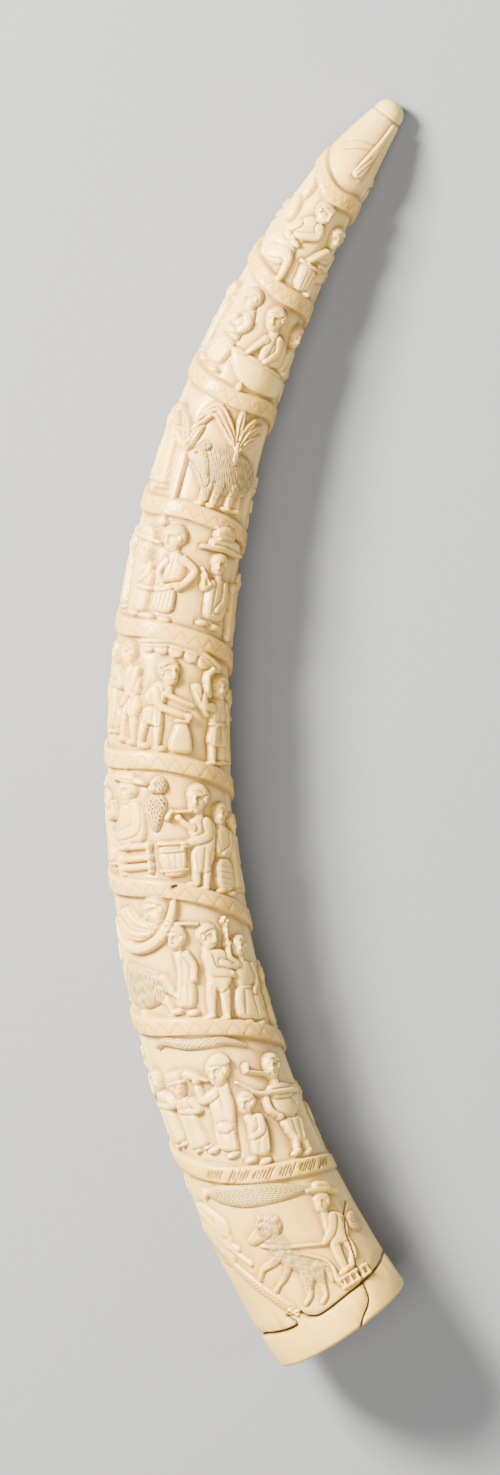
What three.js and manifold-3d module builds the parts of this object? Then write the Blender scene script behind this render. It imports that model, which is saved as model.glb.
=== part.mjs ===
// A carved ivory tusk, lying on its side: a curved hollow-based horn with a raised band that
// winds up it in nine turns, and rows of low-relief figures standing on each turn of the band.
// Millimetres, +Z up. The tusk curves in the XY plane and rests on the underside of its band.

import * as THREE from 'three';
import { mergeVertices } from 'three/addons/utils/BufferGeometryUtils.js';
import Module from 'manifold-3d';

const wasm = await Module();
wasm.setup();

// The tusk's axis: an arc in plan, measured from the base
const AXIS_RADIUS = 510;
const AXIS_START = THREE.MathUtils.degToRad(-33.85);
const AXIS_SWEEP = THREE.MathUtils.degToRad(72.9);
const LENGTH = AXIS_RADIUS * AXIS_SWEEP;
const ARC_CENTRE_X = 467.19;
const ARC_CENTRE_Y = -9.1;

// The base is cut a little askew, so that its upper edge reaches out further than its lower one
const BASE_SLANT = 0.12;
const BASE_SPARE = 8;

// Radius over the carving: straight taper, a fuller taper near the tip and the tip's own cone
const BASE_RADIUS = 37.5;
const STRAIGHT_TAPER = 12;
const TIP_TAPER = 15;
const CONE_FROM = 600;
const CONE_DROP = 4;

// How deep the ground is cut below that radius: at the base, between the turns, at the tip, and
// the stretches where one depth goes over into the next
const BASE_CUT = 0.9;
const GROUND_CUT = 2.6;
const TIP_CUT = 1.0;
const CUT_DEEPENS = [60, 110];
const CUT_EASES = [594, 610];

// Knob at the tip, and the pulp hollow, which starts a little outside the base
const KNOB_FROM = 641;
const KNOB_SINK = 2;
const KNOB_RADIUS = 6.8;
const KNOB_NECK = 0.8;
const KNOB_ROUND = 1.05;
const HOLLOW_START = -6;
const HOLLOW_DEPTH = 100;
const HOLLOW_RADIUS = 28.6;
const HOLLOW_END_RADIUS = 1.5;
const HOLLOW_FULLNESS = 0.8;

// The band's middle line, as distance from the base where each turn crosses the left edge, the
// front line and the right edge, from the lowest turn up
const BAND_LEFT = [72, 110, 175, 241, 300, 362.5, 421.5, 489, 551, 607];
const BAND_FRONT = [4, 86.6, 163.6, 231.4, 294.7, 358.3, 418.6, 478.8, 537, 592.5];
const BAND_RIGHT = [0, 75.5, 145, 211, 281, 347, 410, 476, 533, 591, 622];
const BAND_PROUD = 0.4;
const BAND_HALF = 4.6;
const BAND_FACE_HALF = 3.9;
const BAND_STARTS = [0.06, 0.08];
const BAND_ENDS = [9.3, 9.6];
const BAND_END_RISE = 80;

// How far the axis is let down so that the band's underside is cut to small flat spots
const REST_CUT = 0.5;

// Relief heights above the ground where it is cut to its full depth. Where it is shallower, near
// the base and the tip, the relief is lower in proportion
const RELIEF_PROUD = 0.6;
const DRESS_HIGH = 2.7;
const ARM_HIGH = 3.4;
const HEAD_HIGH = 3.8;
const HAT_HIGH = 4.2;
const BACK_HIGH = 2;
const STAFF_HIGH = 2.6;

// Facets of the body, the knob, the hollow and the heads
const BODY_SIDES = 18;
const KNOB_SIDES = 8;
const KNOB_STEPS = 3;
const HOLLOW_SIDES = 12;
const HOLLOW_STEPS = 4;
const DOME_SIDES = 6;
const DOME_RINGS = 3;
const MERGE_WITHIN = 1e-3;

const ivory = new THREE.MeshStandardMaterial({ color: 0xe6d6b4, roughness: 0.42, metalness: 0 });

function smooth([from, to], value) {
  return THREE.MathUtils.smoothstep(value, from, to);
}

// Radius over the carving at a distance along the axis
function envelope(along) {
  const share = along / LENGTH;
  const cone = Math.max(0, (along - CONE_FROM) / (LENGTH - CONE_FROM));
  return BASE_RADIUS - STRAIGHT_TAPER * share - TIP_TAPER * share ** 4 - CONE_DROP * cone ** 1.5;
}

// Depth of the ground below the envelope
function cut(along) {
  const body = BASE_CUT + (GROUND_CUT - BASE_CUT) * smooth(CUT_DEEPENS, along);
  return body + (TIP_CUT - GROUND_CUT) * smooth(CUT_EASES, along);
}

function ground(along) {
  return envelope(along) - cut(along);
}

// A point of the tusk: angle around the axis from straight up, distance along it, radius
function shell(around, along, radius) {
  const angle = AXIS_START + along / AXIS_RADIUS;
  const reach = AXIS_RADIUS - radius * Math.sin(around);
  return new THREE.Vector3(
    ARC_CENTRE_X - reach * Math.cos(angle),
    ARC_CENTRE_Y + reach * Math.sin(angle),
    envelope(along) - REST_CUT + radius * Math.cos(around),
  );
}

// A point of the relief: x around the front in mm, y along the axis, z above the ground, lowered
// where the ground is shallow, or below it
function onGround(x, y, z) {
  const depth = (cut(y) + RELIEF_PROUD) / (GROUND_CUT + RELIEF_PROUD);
  return shell(x / envelope(y), y, ground(y) + Math.min(z, z * depth));
}

// Moves every vertex of a closed geometry and turns it into a solid
function solid(geometry, move) {
  geometry.deleteAttribute('normal');
  geometry.deleteAttribute('uv');
  const position = geometry.getAttribute('position');
  for (let i = 0; i < position.count; i += 1) {
    const moved = move(new THREE.Vector3().fromBufferAttribute(position, i));
    position.setXYZ(i, moved.x, moved.y, moved.z);
  }
  const merged = mergeVertices(geometry, MERGE_WITHIN);
  const corners = merged.getIndex().array;
  const triangles = [];
  for (let i = 0; i < corners.length; i += 3) {
    const [a, b, c] = corners.slice(i, i + 3);
    if (a !== b && b !== c && c !== a) {
      triangles.push(a, b, c);
    }
  }
  return new wasm.Manifold(new wasm.Mesh({
    numProp: 3,
    vertProperties: new Float32Array(merged.getAttribute('position').array),
    triVerts: new Uint32Array(triangles),
  }));
}

// A round bar along the axis whose radius follows a function
function lengthwise(from, to, sides, steps, radius) {
  return solid(new THREE.CylinderGeometry(1, 1, 1, sides, steps), (p) => {
    const share = p.y + 0.5;
    const along = THREE.MathUtils.lerp(from, to, share);
    return shell(Math.atan2(p.x, p.z), along, Math.hypot(p.x, p.z) * radius(share));
  });
}

// Relief forms on the ground: sweeps along [x, y, half width] points, with a ridge for limbs and
// lines or a flat-topped slab for broad bodies, and domes for heads
const FOOT_SINK = 1;
const SLAB_TOP = 0.6;
const DOME_FULL = 1.15;
const section = (corners) => new THREE.Shape(corners.map(([x, y]) => new THREE.Vector2(x, y)));
const RIDGE = section([[-1, 0], [1, 0], [0, 1]]);
const SLAB = section([[-1, 0], [1, 0], [SLAB_TOP, 1], [-SLAB_TOP, 1]]);

function sweep(profile, path, high) {
  const last = path.length - 1;
  const prism = new THREE.ExtrudeGeometry(profile, { steps: last, depth: last, bevelEnabled: false });
  return solid(prism, (p) => {
    const i = Math.round(p.z);
    const [x, y, half] = path[i];
    const before = path[Math.max(i - 1, 0)];
    const after = path[Math.min(i + 1, last)];
    const way = new THREE.Vector2(after[0] - before[0], after[1] - before[1]).normalize();
    const across = -p.x * half;
    return onGround(x + way.y * across, y - way.x * across, p.y > 0 ? high : -FOOT_SINK);
  });
}

const ridge = (path, high) => sweep(RIDGE, path, high);
const slab = (path, high) => sweep(SLAB, path, high);

function dome(x, y, halfWide, halfTall, high) {
  const ball = new THREE.SphereGeometry(DOME_FULL, DOME_SIDES, DOME_RINGS).rotateX(Math.PI / 2);
  return solid(ball, (p) => onGround(x + p.x * halfWide, y + p.y * halfTall, p.z * high / DOME_FULL));
}

// People, in shares of their height: dress as [height, half width] stations, and bare legs below it
const DRESS = {
  robe: { body: [[0, 0.17], [0.42, 0.13], [0.73, 0.13]], bare: 0 },
  skirt: { body: [[0, 0.13], [0.19, 0.13], [0.21, 0.19], [0.42, 0.13], [0.73, 0.13]], bare: 0 },
  cloth: { body: [[0.32, 0.15], [0.46, 0.12], [0.73, 0.13]], bare: 0.36 },
};
// Arms as points from the shoulder or elbow to the hand, in shares of the height, for the right
// side of the figure. A hidden arm is behind the body or a neighbour
const ARMS = {
  hidden: [],
  down: [[0.13, 0.65], [0.21, 0.5], [0.17, 0.36]],
  akimbo: [[0.12, 0.66], [0.31, 0.53], [0.12, 0.42]],
  folded: [[0.2, 0.52], [-0.07, 0.56]],
  raised: [[0.14, 0.62], [0.26, 0.8]],
  reach: [[0.13, 0.64], [0.28, 0.53], [0.46, 0.49]],
  point: [[0.13, 0.64], [0.26, 0.54], [0.35, 0.62]],
};
const ARM_HALF = 0.068;
const LEG = { foot: 0.08, hip: 0.07, footHalf: 0.07, hipHalf: 0.08 };
const HEAD = { up: 0.865, halfWide: 0.115, halfTall: 0.14 };

// Hats, in shares of the head's half sizes: the crown's foot, top and widths, and a brim
const CROWN = { foot: 0.5, footHalf: 1.1, topHalf: 0.9, top: { cap: 1.2, brim: 1.2, tall: 1.5 } };
const BRIM_REACH = 2;
const BRIM_HALF = 1.6;

function person({ x, y, tall, lean = 0, dress = 'robe', hat = 'none', left = 'down', right = 'down' }) {
  const slope = Math.tan(THREE.MathUtils.degToRad(lean));
  const at = (px, py, half) => [x + (px + py * slope) * tall, y + py * tall, half * tall];
  const { body, bare } = DRESS[dress];
  const forms = [slab(body.map(([up, half]) => at(0, up, half)), DRESS_HIGH)];
  for (const side of [-1, 1]) {
    if (bare > 0) {
      const leg = [at(side * LEG.foot, 0, LEG.footHalf), at(side * LEG.hip, bare, LEG.hipHalf)];
      forms.push(ridge(leg, DRESS_HIGH));
    }
    const arm = ARMS[side < 0 ? left : right];
    if (arm.length > 0) {
      forms.push(ridge(arm.map(([px, py]) => at(side * px, py, ARM_HALF)), ARM_HIGH));
    }
  }
  const [headX, headY] = at(0, HEAD.up, 0);
  const wide = HEAD.halfWide * tall;
  const high = HEAD.halfTall * tall;
  forms.push(dome(headX, headY, wide, high, HEAD_HIGH));
  const brow = headY + high * CROWN.foot;
  if (hat !== 'none') {
    const top = headY + high * CROWN.top[hat];
    forms.push(slab([[headX, brow, wide * CROWN.footHalf], [headX, top, wide * CROWN.topHalf]], HAT_HIGH));
  }
  if (hat === 'brim') {
    const reach = wide * BRIM_REACH;
    forms.push(ridge([[headX - reach, brow, BRIM_HALF], [headX + reach, brow, BRIM_HALF]], HAT_HIGH));
  }
  return forms;
}

// A beast seen from the side. Its places are shares of its length, its widths shares of the body's
const BEAST = { half: 0.3, neck: 0.5, rump: 0.42, legs: [-0.36, 0.36], splay: 1.1 };
const BEAST_HALVES = { neck: 0.9, headUp: 0.5, thigh: 0.5, foot: 0.35 };

function beast({ x, y, long, tall, face }) {
  const half = tall * BEAST.half;
  const back = y + tall - half;
  const neck = x + face * long * BEAST.neck;
  const rump = x - face * long * BEAST.rump;
  const neckHalf = half * BEAST_HALVES.neck;
  const legs = BEAST.legs.map((step) => ridge([
    [x + step * long, back, half * BEAST_HALVES.thigh],
    [x + step * long * BEAST.splay, y, half * BEAST_HALVES.foot],
  ], DRESS_HIGH));
  return [
    slab([[neck, back, neckHalf], [rump, back, half]], DRESS_HIGH),
    dome(neck, back + half * BEAST_HALVES.headUp, half, neckHalf, HEAD_HIGH),
    ...legs,
  ];
}

// A palm: trunk and fronds that fan out over most of a half turn, and droop from their bends
const TRUNK = { footHalf: 2.4, topHalf: 1.8 };
const FROND = { turns: [0.08, 0.92], bendOut: 0.6, bendUp: 0.75, endUp: 0.8, droop: 0.12 };
const FROND_HALVES = [1.4, 2.4, 0.8];

function palm({ x, y, top, spread, fronds }) {
  const forms = [ridge([[x, y, TRUNK.footHalf], [x, top, TRUNK.topHalf]], DRESS_HIGH)];
  for (let i = 0; i < fronds; i += 1) {
    const turn = Math.PI * THREE.MathUtils.lerp(...FROND.turns, i / (fronds - 1));
    const out = Math.cos(turn) * spread;
    const up = Math.sin(turn) * spread;
    forms.push(ridge([
      [x, top, FROND_HALVES[0]],
      [x + out * FROND.bendOut, top + up * FROND.bendUp, FROND_HALVES[1]],
      [x + out, top + up * FROND.endUp - spread * FROND.droop, FROND_HALVES[2]],
    ], DRESS_HIGH));
  }
  return forms;
}

// A row of scallops hanging from a rail that bows up between its ends
const RAIL = { bow: 3, half: 2, stations: [0, 0.33, 0.67, 1] };
const SCALLOP = { topHalf: 4.4, footHalf: 2, first: 0.4 };

function canopy({ from, to, drop, count }) {
  const point = (share) => [
    THREE.MathUtils.lerp(from[0], to[0], share),
    THREE.MathUtils.lerp(from[1], to[1], share) + RAIL.bow * Math.sin(Math.PI * share),
  ];
  const forms = [ridge(RAIL.stations.map((share) => [...point(share), RAIL.half]), HEAD_HIGH)];
  for (let i = 0; i < count; i += 1) {
    const [x, y] = point((i + SCALLOP.first) / (count + 1));
    forms.push(slab([[x, y, SCALLOP.topHalf], [x, y - drop, SCALLOP.footHalf]], DRESS_HIGH));
  }
  return forms;
}

// Row above the rim: fish under the band, harnessed dog, driver on a sled, bag and stick
function rowOfSled() {
  return [
    slab([[-30, 87, 2.5], [-14, 81, 5.6], [4, 75, 5], [19, 69, 1.5]], DRESS_HIGH),
    dome(-8, 62, 7.5, 5.4, HEAD_HIGH),
    ridge([[-8, 61, 4.5], [-19, 59.5, 2.4]], ARM_HIGH),
    slab([[-5, 60, 6], [-4, 47, 6.5], [3, 30, 5.5]], DRESS_HIGH),
    ridge([[-5, 46, 3], [-15, 43, 2.2], [-21, 45, 1.6]], DRESS_HIGH),
    ridge([[0, 33, 5], [-4, 25, 2.6], [-9, 20, 1.8]], DRESS_HIGH),
    ridge([[5, 33, 4], [2, 24, 2.2], [1, 16, 1.8]], DRESS_HIGH),
    ridge([[-14, 54, 1.2], [14, 41, 1.2]], ARM_HIGH),
    ridge([[2, 42, 1.2], [12, 33, 1.2], [12.5, 20, 1.2]], ARM_HIGH),
    dome(27, 58, 5.5, 5, HEAD_HIGH),
    ridge([[22, 67.5, 2], [37, 61, 2]], HAT_HIGH),
    slab([[21, 38, 5], [26, 55, 5]], DRESS_HIGH),
    ridge([[26, 51, 2.4], [21, 44, 2.4], [14, 41.5, 1.8]], ARM_HIGH),
    ridge([[21, 40, 4], [20, 30, 3], [17, 23, 2.2]], DRESS_HIGH),
    slab([[13, 20, 2.6], [30, 20, 2.6]], DRESS_HIGH),
    slab([[34, 43, 5], [46, 42, 6]], DRESS_HIGH),
    ridge([[-32, 60.5, 2], [-25.5, 50, 2]], DRESS_HIGH),
  ];
}

// Second row: snake, man in a tall hat, man drinking, child, man with pipe and gun
function rowOfDrinker() {
  return [
    ridge([[-28, 162, 2], [-12, 157.5, 2.6], [6, 154.5, 2.4], [18, 148.5, 1]], DRESS_HIGH),
    ...person({ x: -24, y: 107, tall: 37, hat: 'tall', left: 'hidden', right: 'folded' }),
    ...person({ x: -14, y: 101, tall: 46.5, lean: 17, hat: 'cap', left: 'raised' }),
    ridge([[-16.5, 144, 2.6], [-7, 138, 1.2]], HEAD_HIGH),
    ...person({ x: 3, y: 91.5, tall: 34.5, lean: 10, left: 'hidden', right: 'hidden' }),
    ...person({ x: 25.5, y: 88, tall: 54, lean: 5.5, dress: 'skirt', left: 'folded', right: 'folded' }),
    ridge([[7, 132.5, 1], [18, 123, 1.6], [42, 118, 1.6]], HAT_HIGH),
    ridge([[13.5, 137, 1.8], [23, 132, 1]], HEAD_HIGH),
  ];
}

// Third row: man carried in a hammock, robed man, man with folded arms, woman, staff, goat
function rowOfHammock() {
  return [
    dome(-13, 224, 8, 7.4, HEAD_HIGH),
    slab([[-18, 219, 5], [-31, 217, 6.5], [-43, 222, 5]], DRESS_HIGH),
    ridge([[-3, 225, 2.2], [-8, 216, 2.6], [-21, 208, 2.6], [-43, 215, 2.4]], HEAD_HIGH),
    ...person({ x: -8.5, y: 171, tall: 44, lean: 6, left: 'folded', right: 'hidden' }),
    ...person({ x: 7.5, y: 164.5, tall: 49, lean: 6, dress: 'cloth', left: 'folded', right: 'folded' }),
    ...person({ x: 28.5, y: 157, tall: 48.5, lean: 2.5, dress: 'skirt', left: 'raised' }),
    ridge([[22.5, 200, 1], [23.5, 215, 1.4]], DRESS_HIGH),
    ...beast({ x: -28, y: 176, long: 24, tall: 21, face: -1 }),
  ];
}

// Fourth row: seated man in a flat straw hat, monkey, barrel, standing man and another
function rowOfBarrel() {
  return [
    dome(-26, 279.5, 7.5, 7.5, HEAD_HIGH),
    slab([[-34, 288.5, 2], [-12, 286, 2]], HAT_HIGH),
    slab([[-23, 257, 8.5], [-21, 275, 6]], DRESS_HIGH),
    ridge([[-31, 270, 3], [-31, 261, 2.6], [-18, 263, 2]], ARM_HIGH),
    slab([[-30, 252, 3.4], [-11, 252, 3.4]], ARM_HIGH),
    ridge([[-28, 251, 2.4], [-28, 244, 2]], DRESS_HIGH),
    dome(-5, 283, 4.6, 4, HEAD_HIGH),
    slab([[-8, 262, 3], [-7, 280, 5.4]], DRESS_HIGH),
    slab([[0, 239, 5.8], [0, 247, 7.2], [0, 255, 6.2]], ARM_HIGH),
    ...person({ x: 12, y: 230.5, tall: 53, lean: 5, left: 'hidden', right: 'hidden' }),
    ridge([[19.5, 264, 2.8], [20, 257, 2.6], [6, 253.5, 2]], ARM_HIGH),
    ridge([[11.5, 262, 2.2], [5, 267.5, 2], [-1, 269, 1.8]], ARM_HIGH),
    ...person({ x: 28.5, y: 226, tall: 48.5, lean: 2, left: 'hidden', right: 'folded' }),
  ];
}

// Fifth row: canopy, man with a bundle, bending man, jar, man with an axe
function rowOfCanopy() {
  return [
    ...canopy({ from: [-17, 353], to: [31, 345], drop: 4.5, count: 5 }),
    ...person({ x: -19, y: 303.5, tall: 50, lean: -5.5, dress: 'skirt', left: 'akimbo' }),
    dome(-31, 316.5, 5, 6.5, DRESS_HIGH),
    ...person({ x: -9, y: 301, tall: 44, lean: 10, dress: 'cloth', left: 'point', right: 'reach' }),
    slab([[7, 299, 6.6], [7.5, 315, 3]], DRESS_HIGH),
    ridge([[12, 332, 2.6], [17, 326, 4], [22, 318, 1.6]], DRESS_HIGH),
    ...person({ x: 30, y: 293, tall: 47, lean: 3, dress: 'skirt', left: 'raised' }),
  ];
}

// Sixth row: man in a brimmed hat, figure with hands on hips, man in a layered hat, post
function rowOfHats() {
  return [
    ...person({
      x: -21.5, y: 365, tall: 36, lean: -2, dress: 'skirt', hat: 'brim', left: 'hidden', right: 'folded',
    }),
    ...person({ x: -11, y: 363.5, tall: 47.5, lean: 5, dress: 'skirt', left: 'hidden', right: 'akimbo' }),
    ...person({ x: 19.5, y: 362, tall: 39.5, lean: 1, hat: 'brim', left: 'point' }),
    slab([[20, 403, 9.5], [18, 415, 5]], HEAD_HIGH),
    ridge([[35, 360, 3], [35, 382, 2.6]], DRESS_HIGH),
  ];
}

// Seventh row: maned beast between palms, man on the left
function rowOfPalms() {
  return [
    slab([[-6, 443, 8], [8, 442, 11.5], [20, 441, 11], [31, 438, 9]], DRESS_HIGH),
    dome(-3, 445, 6.6, 7.6, HAT_HIGH),
    ridge([[-3, 443, 5], [-11, 443, 3]], HEAD_HIGH),
    ...[2, 8, 17, 23].map((x) => ridge([[x, 434, 3], [x, 424.5, 2.2]], DRESS_HIGH)),
    ...palm({ x: 13, y: 451, top: 456, spread: 16, fronds: 5 }),
    ...palm({ x: -13.5, y: 423, top: 450, spread: 13, fronds: 3 }),
    ...person({ x: -27, y: 427, tall: 42, left: 'hidden', right: 'point' }),
  ];
}

// Eighth row: figure with folded arms, canoe and two rowers
function rowOfCanoe() {
  return [
    ...person({ x: -20.5, y: 488, tall: 45.5, lean: 14, dress: 'skirt', left: 'folded', right: 'folded' }),
    slab([[-7, 499, 2], [0, 493, 7], [16, 491.5, 8.4], [34, 491, 8]], DRESS_HIGH),
    dome(8.5, 522, 5.6, 7, HEAD_HIGH),
    slab([[12, 498, 5.5], [12, 516, 5]], DRESS_HIGH),
    ridge([[9, 514, 2.6], [6, 507, 2.2], [2, 502, 1.8]], ARM_HIGH),
    ridge([[16, 513, 2.6], [15, 506, 2.2], [12, 500, 1.8]], ARM_HIGH),
    dome(27, 520, 5, 6.5, HEAD_HIGH),
    slab([[28, 498, 5], [28, 513, 4.5]], DRESS_HIGH),
  ];
}

// Ninth row: crouching figure and drummer
function rowOfDrum() {
  return [
    dome(3, 580.5, 6.2, 5.8, HEAD_HIGH),
    slab([[-13, 553, 9], [-8, 564, 7.5], [2, 575, 5]], DRESS_HIGH),
    ridge([[4, 573, 2.4], [5.5, 569, 2.2], [-5, 564.5, 1.8]], ARM_HIGH),
    ridge([[-12, 552, 4], [-2, 552, 3], [-1, 542, 2]], ARM_HIGH),
    dome(19, 574, 5.2, 6.2, HEAD_HIGH),
    slab([[21, 552, 5.6], [20, 568, 4.6]], DRESS_HIGH),
    slab([[12, 541, 6.2], [12, 555, 6.4]], ARM_HIGH),
  ];
}

// Tip: a staff laid along the bare cone
function tipStaff() {
  return [ridge([[9.5, 637, 1.4], [9.5, 620, 2.2], [7, 606, 1.4]], STAFF_HIGH)];
}

// The band's middle line at a turn count, with the front of each turn at a whole number
function bandCurve() {
  const points = [];
  BAND_RIGHT.forEach((right, turn) => {
    points.push(new THREE.Vector2(turn - 0.25, right));
    if (turn < BAND_FRONT.length) {
      points.push(new THREE.Vector2(turn, BAND_FRONT[turn]));
      points.push(new THREE.Vector2(turn + 0.25, BAND_LEFT[turn]));
    }
  });
  const first = points[0];
  const last = points[points.length - 1];
  return (turn) => {
    if (turn <= first.x || turn >= last.x) {
      const end = turn <= first.x ? first : last;
      return end.y + (turn - end.x) * BAND_END_RISE;
    }
    const next = points.findIndex((p) => p.x > turn);
    const pick = (i) => points[THREE.MathUtils.clamp(i, 0, points.length - 1)];
    const [p0, p1, p2, p3] = [next - 2, next - 1, next, next + 1].map(pick);
    const run = p2.x - p1.x;
    const share = (turn - p1.x) / run;
    const leave = run * (p2.y - p0.y) / (p2.x - p0.x);
    const arrive = run * (p3.y - p1.y) / (p3.x - p1.x);
    const s2 = share ** 2;
    const s3 = share ** 3;
    return (2 * s3 - 3 * s2 + 1) * p1.y + (s3 - 2 * s2 + share) * leave
      + (3 * s2 - 2 * s3) * p2.y + (s3 - s2) * arrive;
  };
}

const bandAt = bandCurve();

// The skin in one piece: rows of points follow the band round the tusk, four to a turn across the
// band's foot and face, and the ground spans from one turn to the next
const BAND_ROWS = [[-BAND_HALF, 0], [-BAND_FACE_HALF, 1], [BAND_FACE_HALF, 1], [BAND_HALF, 0]];
const ROWS_A_TURN = BAND_ROWS.length;
const SPARE_TURNS = 2;

function skinPoint(row, turnShare) {
  const turn = Math.floor(row / ROWS_A_TURN) - SPARE_TURNS + turnShare;
  const [off, up] = BAND_ROWS[row % ROWS_A_TURN];
  const along = bandAt(turn) + off;
  const kept = THREE.MathUtils.clamp(along, -BASE_SPARE, KNOB_FROM);
  const fade = smooth(BAND_STARTS, turn) - smooth(BAND_ENDS, turn);
  const proud = kept === along ? up * fade * (cut(along) + BAND_PROUD) : 0;
  const around = turnShare === 0.5 ? Math.PI : -turnShare * 2 * Math.PI;
  return shell(around, kept, ground(kept) + proud);
}

// The first and last rows of the sheet close up at the axis and make the two end faces
function skin() {
  const lastRow = ROWS_A_TURN * (BAND_FRONT.length + 2 * SPARE_TURNS);
  const sheet = new THREE.PlaneGeometry(1, 1, BODY_SIDES, lastRow);
  return solid(sheet, (p) => {
    const row = Math.round((p.y + 0.5) * lastRow);
    if (row === 0 || row === lastRow) {
      return shell(0, row === 0 ? -BASE_SPARE : KNOB_FROM, 0);
    }
    return skinPoint(row, -Math.round(p.x * BODY_SIDES) / BODY_SIDES);
  });
}

// Plainer figures around the back, one to each turn, now on one side and now on the other, with
// their sizes in shares of the room between two turns
const BACK_PLACES = [0.37, 0.63];
const BACK_ROBE = { hem: 0.17, shoulder: 0.14, up: 0.72 };
const BACK_HEAD = { up: 0.84, halfWide: 0.11, halfTall: 0.13, high: 1.3 };

function backFigures() {
  const forms = [];
  for (let turn = 0; turn < BAND_FRONT.length - 1; turn += 1) {
    const share = BACK_PLACES[turn % BACK_PLACES.length];
    const foot = bandAt(turn + share) + BAND_HALF;
    const tall = bandAt(turn + 1 + share) - BAND_HALF - foot;
    const x = -share * 2 * Math.PI * envelope(foot + tall / 2);
    const hem = [x, foot, tall * BACK_ROBE.hem];
    const shoulder = [x, foot + tall * BACK_ROBE.up, tall * BACK_ROBE.shoulder];
    forms.push(slab([hem, shoulder], BACK_HIGH));
    const { up, halfWide, halfTall, high } = BACK_HEAD;
    forms.push(dome(x, foot + tall * up, tall * halfWide, tall * halfTall, BACK_HIGH * high));
  }
  return forms;
}

// The body is trimmed at the base's slanting face, and at the resting plane, which leaves the flat spots
function trimmed(body) {
  const inward = new THREE.Vector3(Math.sin(AXIS_START), Math.cos(AXIS_START), BASE_SLANT).normalize();
  const base = inward.dot(shell(0, 0, 0));
  return body.trimByPlane(inward.toArray(), base).trimByPlane([0, 0, 1], 0);
}

function tusk() {
  const knob = lengthwise(KNOB_FROM - KNOB_SINK, LENGTH, KNOB_SIDES, KNOB_STEPS, (share) => (
    KNOB_RADIUS * Math.sqrt(KNOB_ROUND - (share - KNOB_NECK * (1 - share)) ** 2)));
  const hollow = lengthwise(HOLLOW_START, HOLLOW_DEPTH, HOLLOW_SIDES, HOLLOW_STEPS, (share) => (
    HOLLOW_END_RADIUS + (HOLLOW_RADIUS - HOLLOW_END_RADIUS) * (1 - share) ** HOLLOW_FULLNESS));
  const carving = [
    knob, ...rowOfSled(), ...rowOfDrinker(), ...rowOfHammock(), ...rowOfBarrel(), ...rowOfCanopy(),
    ...rowOfHats(), ...rowOfPalms(), ...rowOfCanoe(), ...rowOfDrum(), ...tipStaff(), ...backFigures(),
  ];
  const whole = carving.reduce((joined, form) => joined.add(form), skin());
  return trimmed(whole.subtract(hollow));
}

function toMesh(manifold, name, material) {
  const { vertProperties, triVerts } = manifold.getMesh();
  const geometry = new THREE.BufferGeometry();
  geometry.setAttribute('position', new THREE.BufferAttribute(new Float32Array(vertProperties), 3));
  geometry.setIndex(new THREE.BufferAttribute(new Uint32Array(triVerts), 1));
  geometry.computeVertexNormals();
  const mesh = new THREE.Mesh(geometry, material);
  mesh.name = name;
  return mesh;
}

const carvedTusk = new THREE.Group();
carvedTusk.add(toMesh(tusk(), 'tusk', ivory));

export default carvedTusk;
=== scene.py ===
# A carved ivory tusk on a pale floor. The carving is a sheet of heights, unrolled from the tusk, on
# which each row of figures is cut form by form; the sheet is then wrapped round the curved axis.

import math

import bpy
import numpy as np
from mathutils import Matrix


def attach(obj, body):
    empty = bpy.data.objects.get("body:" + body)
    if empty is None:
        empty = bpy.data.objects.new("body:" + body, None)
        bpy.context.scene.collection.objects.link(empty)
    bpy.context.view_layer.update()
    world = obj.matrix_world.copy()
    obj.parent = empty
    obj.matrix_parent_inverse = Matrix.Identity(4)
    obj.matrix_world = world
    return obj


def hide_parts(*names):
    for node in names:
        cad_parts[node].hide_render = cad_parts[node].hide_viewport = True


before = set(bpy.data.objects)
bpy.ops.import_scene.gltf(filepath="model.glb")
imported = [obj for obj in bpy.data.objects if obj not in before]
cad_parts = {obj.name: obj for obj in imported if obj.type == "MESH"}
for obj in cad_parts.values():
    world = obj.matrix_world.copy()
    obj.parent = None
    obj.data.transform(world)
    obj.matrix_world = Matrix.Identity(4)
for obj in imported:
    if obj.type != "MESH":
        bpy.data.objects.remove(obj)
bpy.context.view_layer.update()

MM = 0.001
FULL_TURN = 2 * math.pi

# The least length to divide by, and the factors of repeatable random numbers
TINY = 1e-9
MIXING = (12.9898, 78.233)
MIXING_SCALE = 43758.5453

# The tusk's axis, an arc in plan, and the radius over its carving, in mm as in the solid
AXIS_RADIUS = 510.0
AXIS_START = math.radians(-33.85)
AXIS_SWEEP = math.radians(72.9)
LENGTH = AXIS_RADIUS * AXIS_SWEEP
ARC_CENTRE = (467.19, -9.1)
REST_CUT = 0.5
BASE_RADIUS = 37.5
STRAIGHT_TAPER = 12.0
TIP_TAPER = 15.0
CONE_FROM = 600.0
CONE_DROP = 4.0

# Depth of the ground below that radius: at the base, between the turns and at the tip
BASE_CUT = 0.9
GROUND_CUT = 2.6
TIP_CUT = 1.0
CUT_DEEPENS = (60.0, 110.0)
CUT_EASES = (594.0, 610.0)

# Slant of the base's cut and its rounded edge, knob at the tip with the line under it, the pulp hollow,
# and what counts as outside it: so far past its mouth's radius, or over such a share of the skin's
BASE_SLANT = 0.12
BASE_SPARE = 6.0
RIM_ROUND = 2.0
KNOB_LINE = 640.0
KNOB_LINE_HALF = 0.6
KNOB_LINE_DEEP = 0.9
KNOB_MIDDLE = 641.8
KNOB_RADIUS = 7.1
HOLLOW_START = -6.0
HOLLOW_DEPTH = 100.0
HOLLOW_RADIUS = 28.6
HOLLOW_END_RADIUS = 1.5
HOLLOW_FULLNESS = 0.8
HOLLOW_CLEAR = 0.5
SKIN_FROM = 0.8

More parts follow.
